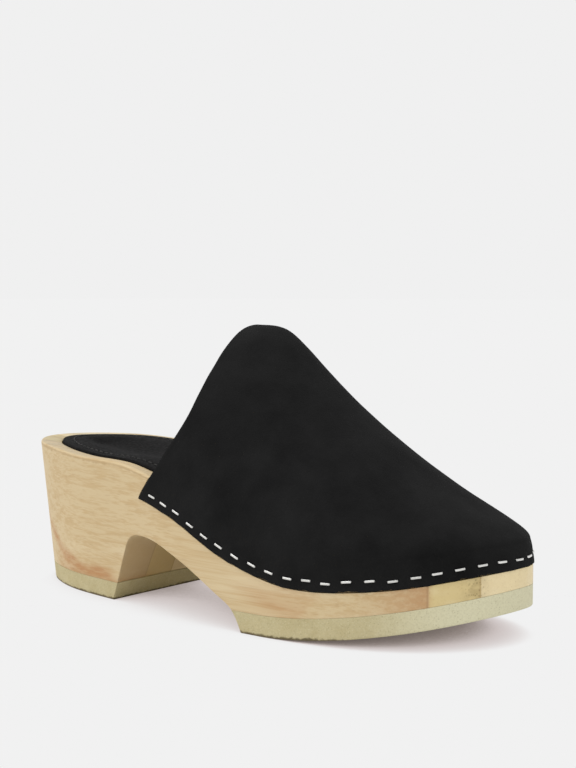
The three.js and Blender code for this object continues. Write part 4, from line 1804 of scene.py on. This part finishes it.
@dataclass
class Vamp:
    """The suede vamp: one piece of leather, lasted over the toe and stapled to the wood, open at the back."""

    last: Last
    finish: SuedeFinish = SuedeFinish()
    wall: float = 0.0018
    proud: float = 0.0004
    seat_clearance: float = 0.0004
    throat_clearance: float = 0.0007
    rim_ease: float = 0.004
    side_columns: int = 215
    foot_rows: int = 10
    face_rows: int = 62
    edge_round: float = 0.0004
    hem_wave: float = 0.0008
    pucker: float = 0.00026
    press_length: float = 0.0031
    press_height: float = 0.0021
    press_limit: float = 0.014
    hem_reach: float = 0.005
    soft_wide: float = 0.00022
    soft_close: float = 0.0001
    wave_reach: float = 0.0012
    throat_wave: float = 0.0003
    throat_reach: float = 0.003

    def build(self, seats: Sequence[Matrix]) -> bpy.types.Object:
        """Builds the vamp, pressed in at its staples.

        Args:
            seats: The places of the staples.

        Returns:
            The piece.
        """
        last = self.last
        rows = [r / self.foot_rows for r in range(self.foot_rows)]
        rows += [1 + r / self.face_rows for r in range(self.face_rows + 1)]
        grid = []
        for row in rows:
            side, station = last.vamp_columns(row, self.proud, self.side_columns)
            grid.append(last.vamp_point(side, station, row, self.proud))
        grid = last.placed(np.stack(grid))
        piece = make_piece("suede_vamp", grid, grid_faces(*grid.shape[:2], False), 60)
        self.shape(piece, seats)
        wall = piece.modifiers.new("wall", "SOLIDIFY")
        wall.thickness = self.wall
        wall.offset = -1.0
        wall.use_even_offset = True
        edges = piece.modifiers.new("cut_edges", "BEVEL")
        edges.width = self.edge_round
        edges.segments = 2
        edges.limit_method = "ANGLE"
        edges.angle_limit = math.radians(50)
        settle(piece, 60)
        self.show_edges(piece)
        return dress(piece, self.finish, Slot.SUEDE, "upper")

    def hem_height(self, points: np.ndarray) -> np.ndarray:
        """Returns the height of each point above the vamp's lower edge."""
        return points[:, 2] - self.last.seat_height(points[:, 0] - self.last.origin[0])

    def ahead_of_throat(self, points: np.ndarray) -> np.ndarray:
        """Works out how far each point lies ahead of the throat.

        Args:
            points: The points.

        Returns:
            The distances.
        """
        up = points[:, 2] / self.last.vamp_height
        throat = self.last.length * smooth(self.last.throat, "up", "along", up)
        return points[:, 0] - self.last.origin[0] - throat

    def shape(self, piece: bpy.types.Object, seats: Sequence[Matrix]) -> None:
        """Presses the staples into the leather, lets it stand off between them and cuts its hem by hand.

        Args:
            piece: The vamp's outer face.
            seats: The places of the staples.
        """
        points, normal = places(piece), facing(piece)
        if normal[np.argmax(points[:, 2]), 2] < 0:
            piece.data.flip_normals()
            normal = -normal
        height = self.hem_height(points)
        press = np.zeros(len(points))
        low = height < self.press_limit
        for seat in seats:
            local = np.array(seat.inverted())
            near = points[low] @ local[:3, :3].T + local[:3, 3]
            dent = bell(near[:, 0], self.press_length) * bell(near[:, 1], self.press_height)
            press[low] = np.maximum(press[low], dent)
        hem = np.exp(-np.maximum(0, height) / self.hem_reach)
        soft = self.soft_wide * rough(points, 0.028, 2.0) + self.soft_close * rough(points, 0.011, 6.0)
        soft *= smoothstep(height, 0.012, 0.03)
        points += normal * (soft + 0.3 * self.pucker * hem - 1.4 * self.pucker * press)[:, None]
        wave = self.hem_wave * (0.55 * rough(points, 0.007, 4.0) + 0.75 * rough(points, 0.0026, 7.0))
        points[:, 2] += wave * np.exp(-np.maximum(0, height) / self.wave_reach)
        fade = np.exp(-np.maximum(0, self.ahead_of_throat(points)) / self.throat_reach)
        points[:, 0] += self.throat_wave * rough(points, 0.009, 1.0) * fade
        move(piece, points)

    def show_edges(self, piece: bpy.types.Object) -> None:
        """Marks the cut edges, where the nap is paler.

        Args:
            piece: The vamp.
        """
        points = places(piece)
        hem = np.exp(-np.maximum(0, self.hem_height(points)) / 0.0005)
        throat = np.exp(-np.abs(self.ahead_of_throat(points)) / 0.0009) * (self.hem_height(points) > 0.001)
        mark(piece, "edge", np.clip(0.55 * hem + 0.8 * throat, 0, 1))


@dataclass
class Sock:
    """The leather sock on the footbed, with a stitched line inside its edge."""

    last: Last
    finish: SockFinish = SockFinish()
    thread: ThreadFinish = ThreadFinish()
    thickness: float = 0.003
    edge_round: float = 0.0009
    clearance: float = 0.0003
    recess: float = 0.0023
    glue_line: float = 0.0003
    stitch_inset: float = 0.0052
    stitch_length: float = 0.0027
    stitch_gap: float = 0.0012
    thread_width: float = 0.00055
    groove: float = 0.0003
    groove_width: float = 0.0007
    border_insets: tuple[float, ...] = (
        0.0018, 0.0030, 0.0040, 0.0046, 0.0052, 0.0058, 0.0064, 0.0076, 0.0090
    )

    def top(self, side: np.ndarray, station: np.ndarray, share: float, inset: float) -> np.ndarray:
        """Finds points of the sock's upper face."""
        drop = self.recess - self.glue_line - self.thickness
        return self.last.footbed_point(side, station, share, self.clearance + inset, drop)

    def build(self, columns: tuple[np.ndarray, np.ndarray]) -> list[bpy.types.Object]:
        """Builds the sock and its stitching.

        Args:
            columns: The sides and stations of the wood's columns.

        Returns:
            The two pieces.
        """
        side, station = columns
        under = self.recess - self.glue_line
        shares = np.linspace(0, 1, 10)
        rings = [self.last.footbed_point(side, station, s, self.clearance, under) for s in shares[::-1]]
        side_drop = under - self.thickness + self.edge_round
        rings.append(self.last.footbed_point(side, station, 0.0, self.clearance, side_drop))
        for angle in (30, 60, 90):
            inset = self.edge_round * (1 - math.cos(math.radians(angle)))
            drop = under - self.thickness + self.edge_round * (1 - math.sin(math.radians(angle)))
            rings.append(self.last.footbed_point(side, station, 0.0, self.clearance + inset, drop))
        for away in self.border_insets:
            rings.append(self.top(side, station, 0.0, away))
            rings[-1][:, 2] -= self.groove * bell(np.array(away - self.stitch_inset), self.groove_width)
        edge = self.top(side, station, 0.0, self.border_insets[-1])
        spine = self.last.spine_point(station)
        for share in shares[1:]:
            ring = edge + share * (spine - edge)
            level = self.top(side, station, share, self.edge_round)
            ring[:, 2] = level[:, 2]
            rings.append(ring)
        rings = np.stack(rings)
        piece = make_piece("leather_sock", self.last.placed(rings), grid_faces(*rings.shape[:2], True), 60)
        dress(piece, self.finish, Slot.SOCK, "insole")
        return [piece, self.stitching(side, station)]

    def stitching(self, side: np.ndarray, station: np.ndarray) -> bpy.types.Object:
        """Sews a row of stitches into the groove.

        Args:
            side: The sides of the wood's columns.
            station: Their stations.

        Returns:
            The piece.
        """
        line = self.last.placed(self.top(side, station, 0.0, self.stitch_inset))
        line[:, 2] -= 0.6 * self.groove
        line = np.vstack([line, line[:1]])
        run = np.concatenate([[0], np.cumsum(np.linalg.norm(np.diff(line, axis=0), axis=1))])
        pitch = self.stitch_length + self.stitch_gap
        count = int(run[-1] / pitch)
        steps, around = 7, 8
        points, faces = [], []
        for k in range(count):
            base = len(points) * steps * around
            start = k * run[-1] / count
            rounds = []
            for j in range(steps):
                share = j / (steps - 1)
                at = start + share * self.stitch_length
                here, ahead = (
                    Vector([np.interp(at + step, run, line[:, c]) for c in range(3)]) for step in (0, 0.0004)
                )
                way = (ahead - here).normalized()
                across = Vector((-way.y, way.x, 0)).normalized()
                up = way.cross(across)
                bulge = math.sqrt(max(0.02, 1 - (2 * share - 1) ** 4))
                rise = up * (self.thread_width * 0.35 * math.sin(math.pi * share))
                for i in range(around):
                    a = 2 * math.pi * i / around
                    turn = across * math.cos(a) + up * math.sin(a)
                    rounds.append(tuple(here + rise + turn * (self.thread_width / 2 * bulge)))
            points.append(rounds)
            faces += [tuple(int(v) + base for v in f) for f in grid_faces(steps, around, True)]
            faces.append(tuple(base + i for i in range(around))[::-1])
            faces.append(tuple(base + (steps - 1) * around + i for i in range(around)))
        piece = make_piece("sock_stitching", np.array(points), faces, 60)
        return dress(piece, self.thread, Slot.SOCK)


@dataclass
class Studio:
    """The pale floor, the soft light and the camera at the photograph's angle."""

    floor_half: float = 30.0
    backdrop: Colour = (0.871, 0.871, 0.871, 1.0)
    ambient: float = 0.78
    sun_strength: float = 1.25
    sun_spread: float = 50.0
    sun_from: tuple[float, float, float] = (-0.35, -0.45, 1.0)
    eye: tuple[float, float, float] = (0.3921, -0.4439, 0.1303)
    yaw: float = -40.139
    pitch: float = -3.638
    lens: float = 66.18

    def build(self) -> None:
        """Builds the floor, the lights and the camera."""
        scene = bpy.context.scene
        scene.view_settings.view_transform = "Standard"
        corners = self.floor_half * np.array([(-1, -1, 0), (1, -1, 0), (1, 1, 0), (-1, 1, 0)])
        floor = make_piece("studio_floor", corners, [(0, 1, 2, 3)])
        floor.data.materials.append(FloorFinish().material())
        sun = bpy.data.lights.new("soft_sun", "SUN")
        sun.energy = self.sun_strength
        sun.angle = math.radians(self.sun_spread)
        lamp = bpy.data.objects.new("soft_sun", sun)
        lamp.rotation_euler = Vector(self.sun_from).to_track_quat("Z", "Y").to_euler()
        scene.collection.objects.link(lamp)
        world = bpy.data.worlds.new("studio")
        world.use_nodes = True
        scene.world = world
        graph = Graph(world.node_tree)
        seen = graph.add("ShaderNodeLightPath").outputs["Is Camera Ray"]
        light = graph.add("ShaderNodeBackground", {"Color": (1, 1, 1, 1), "Strength": self.ambient})
        plain = graph.add("ShaderNodeBackground", {"Color": self.backdrop, "Strength": 1.0})
        both = graph.add("ShaderNodeMixShader", {0: seen, 1: light.outputs[0], 2: plain.outputs[0]})
        graph.add("ShaderNodeOutputWorld", {"Surface": both.outputs[0]})
        self.camera(scene)

    def camera(self, scene: bpy.types.Scene) -> None:
        """Places the camera at the photograph's angle.

        Args:
            scene: The scene.
        """
        data = bpy.data.cameras.new("photo_angle")
        data.lens = self.lens
        data.clip_start, data.clip_end = 0.01, 100.0
        camera = bpy.data.objects.new("photo_angle", data)
        yaw, pitch = math.radians(self.yaw), math.radians(self.pitch)
        ahead = Vector((math.sin(yaw) * math.cos(pitch), math.cos(yaw) * math.cos(pitch), math.sin(pitch)))
        camera.location = self.eye
        camera.rotation_euler = ahead.to_track_quat("-Z", "Y").to_euler()
        scene.collection.objects.link(camera)
        scene.camera = camera


def report(label: str, pieces: Sequence[bpy.types.Object]) -> None:
    """Logs how many pieces and faces a sub-assembly has.

    Args:
        label: The sub-assembly's name.
        pieces: Its pieces.
    """
    faces = sum(len(piece.data.polygons) for piece in pieces)
    LOG.info("%s: %d pieces, %d faces", label, len(pieces), faces)


def main() -> None:
    """Builds the clog and its studio."""
    logging.basicConfig(level=logging.INFO)
    last = Last()
    base, vamp, staples = WoodenBase(last), Vamp(last), Staples(last)
    Studio().build()
    report("wooden sole", [base.build(vamp)])
    report("rubber", RubberUnits(last).build())
    report("sock", Sock(last).build(base.columns()))
    report("vamp", [vamp.build(staples.seats(vamp.proud))])
    report("staples", staples.build(vamp.proud))


if __name__ == "__main__":
    main()
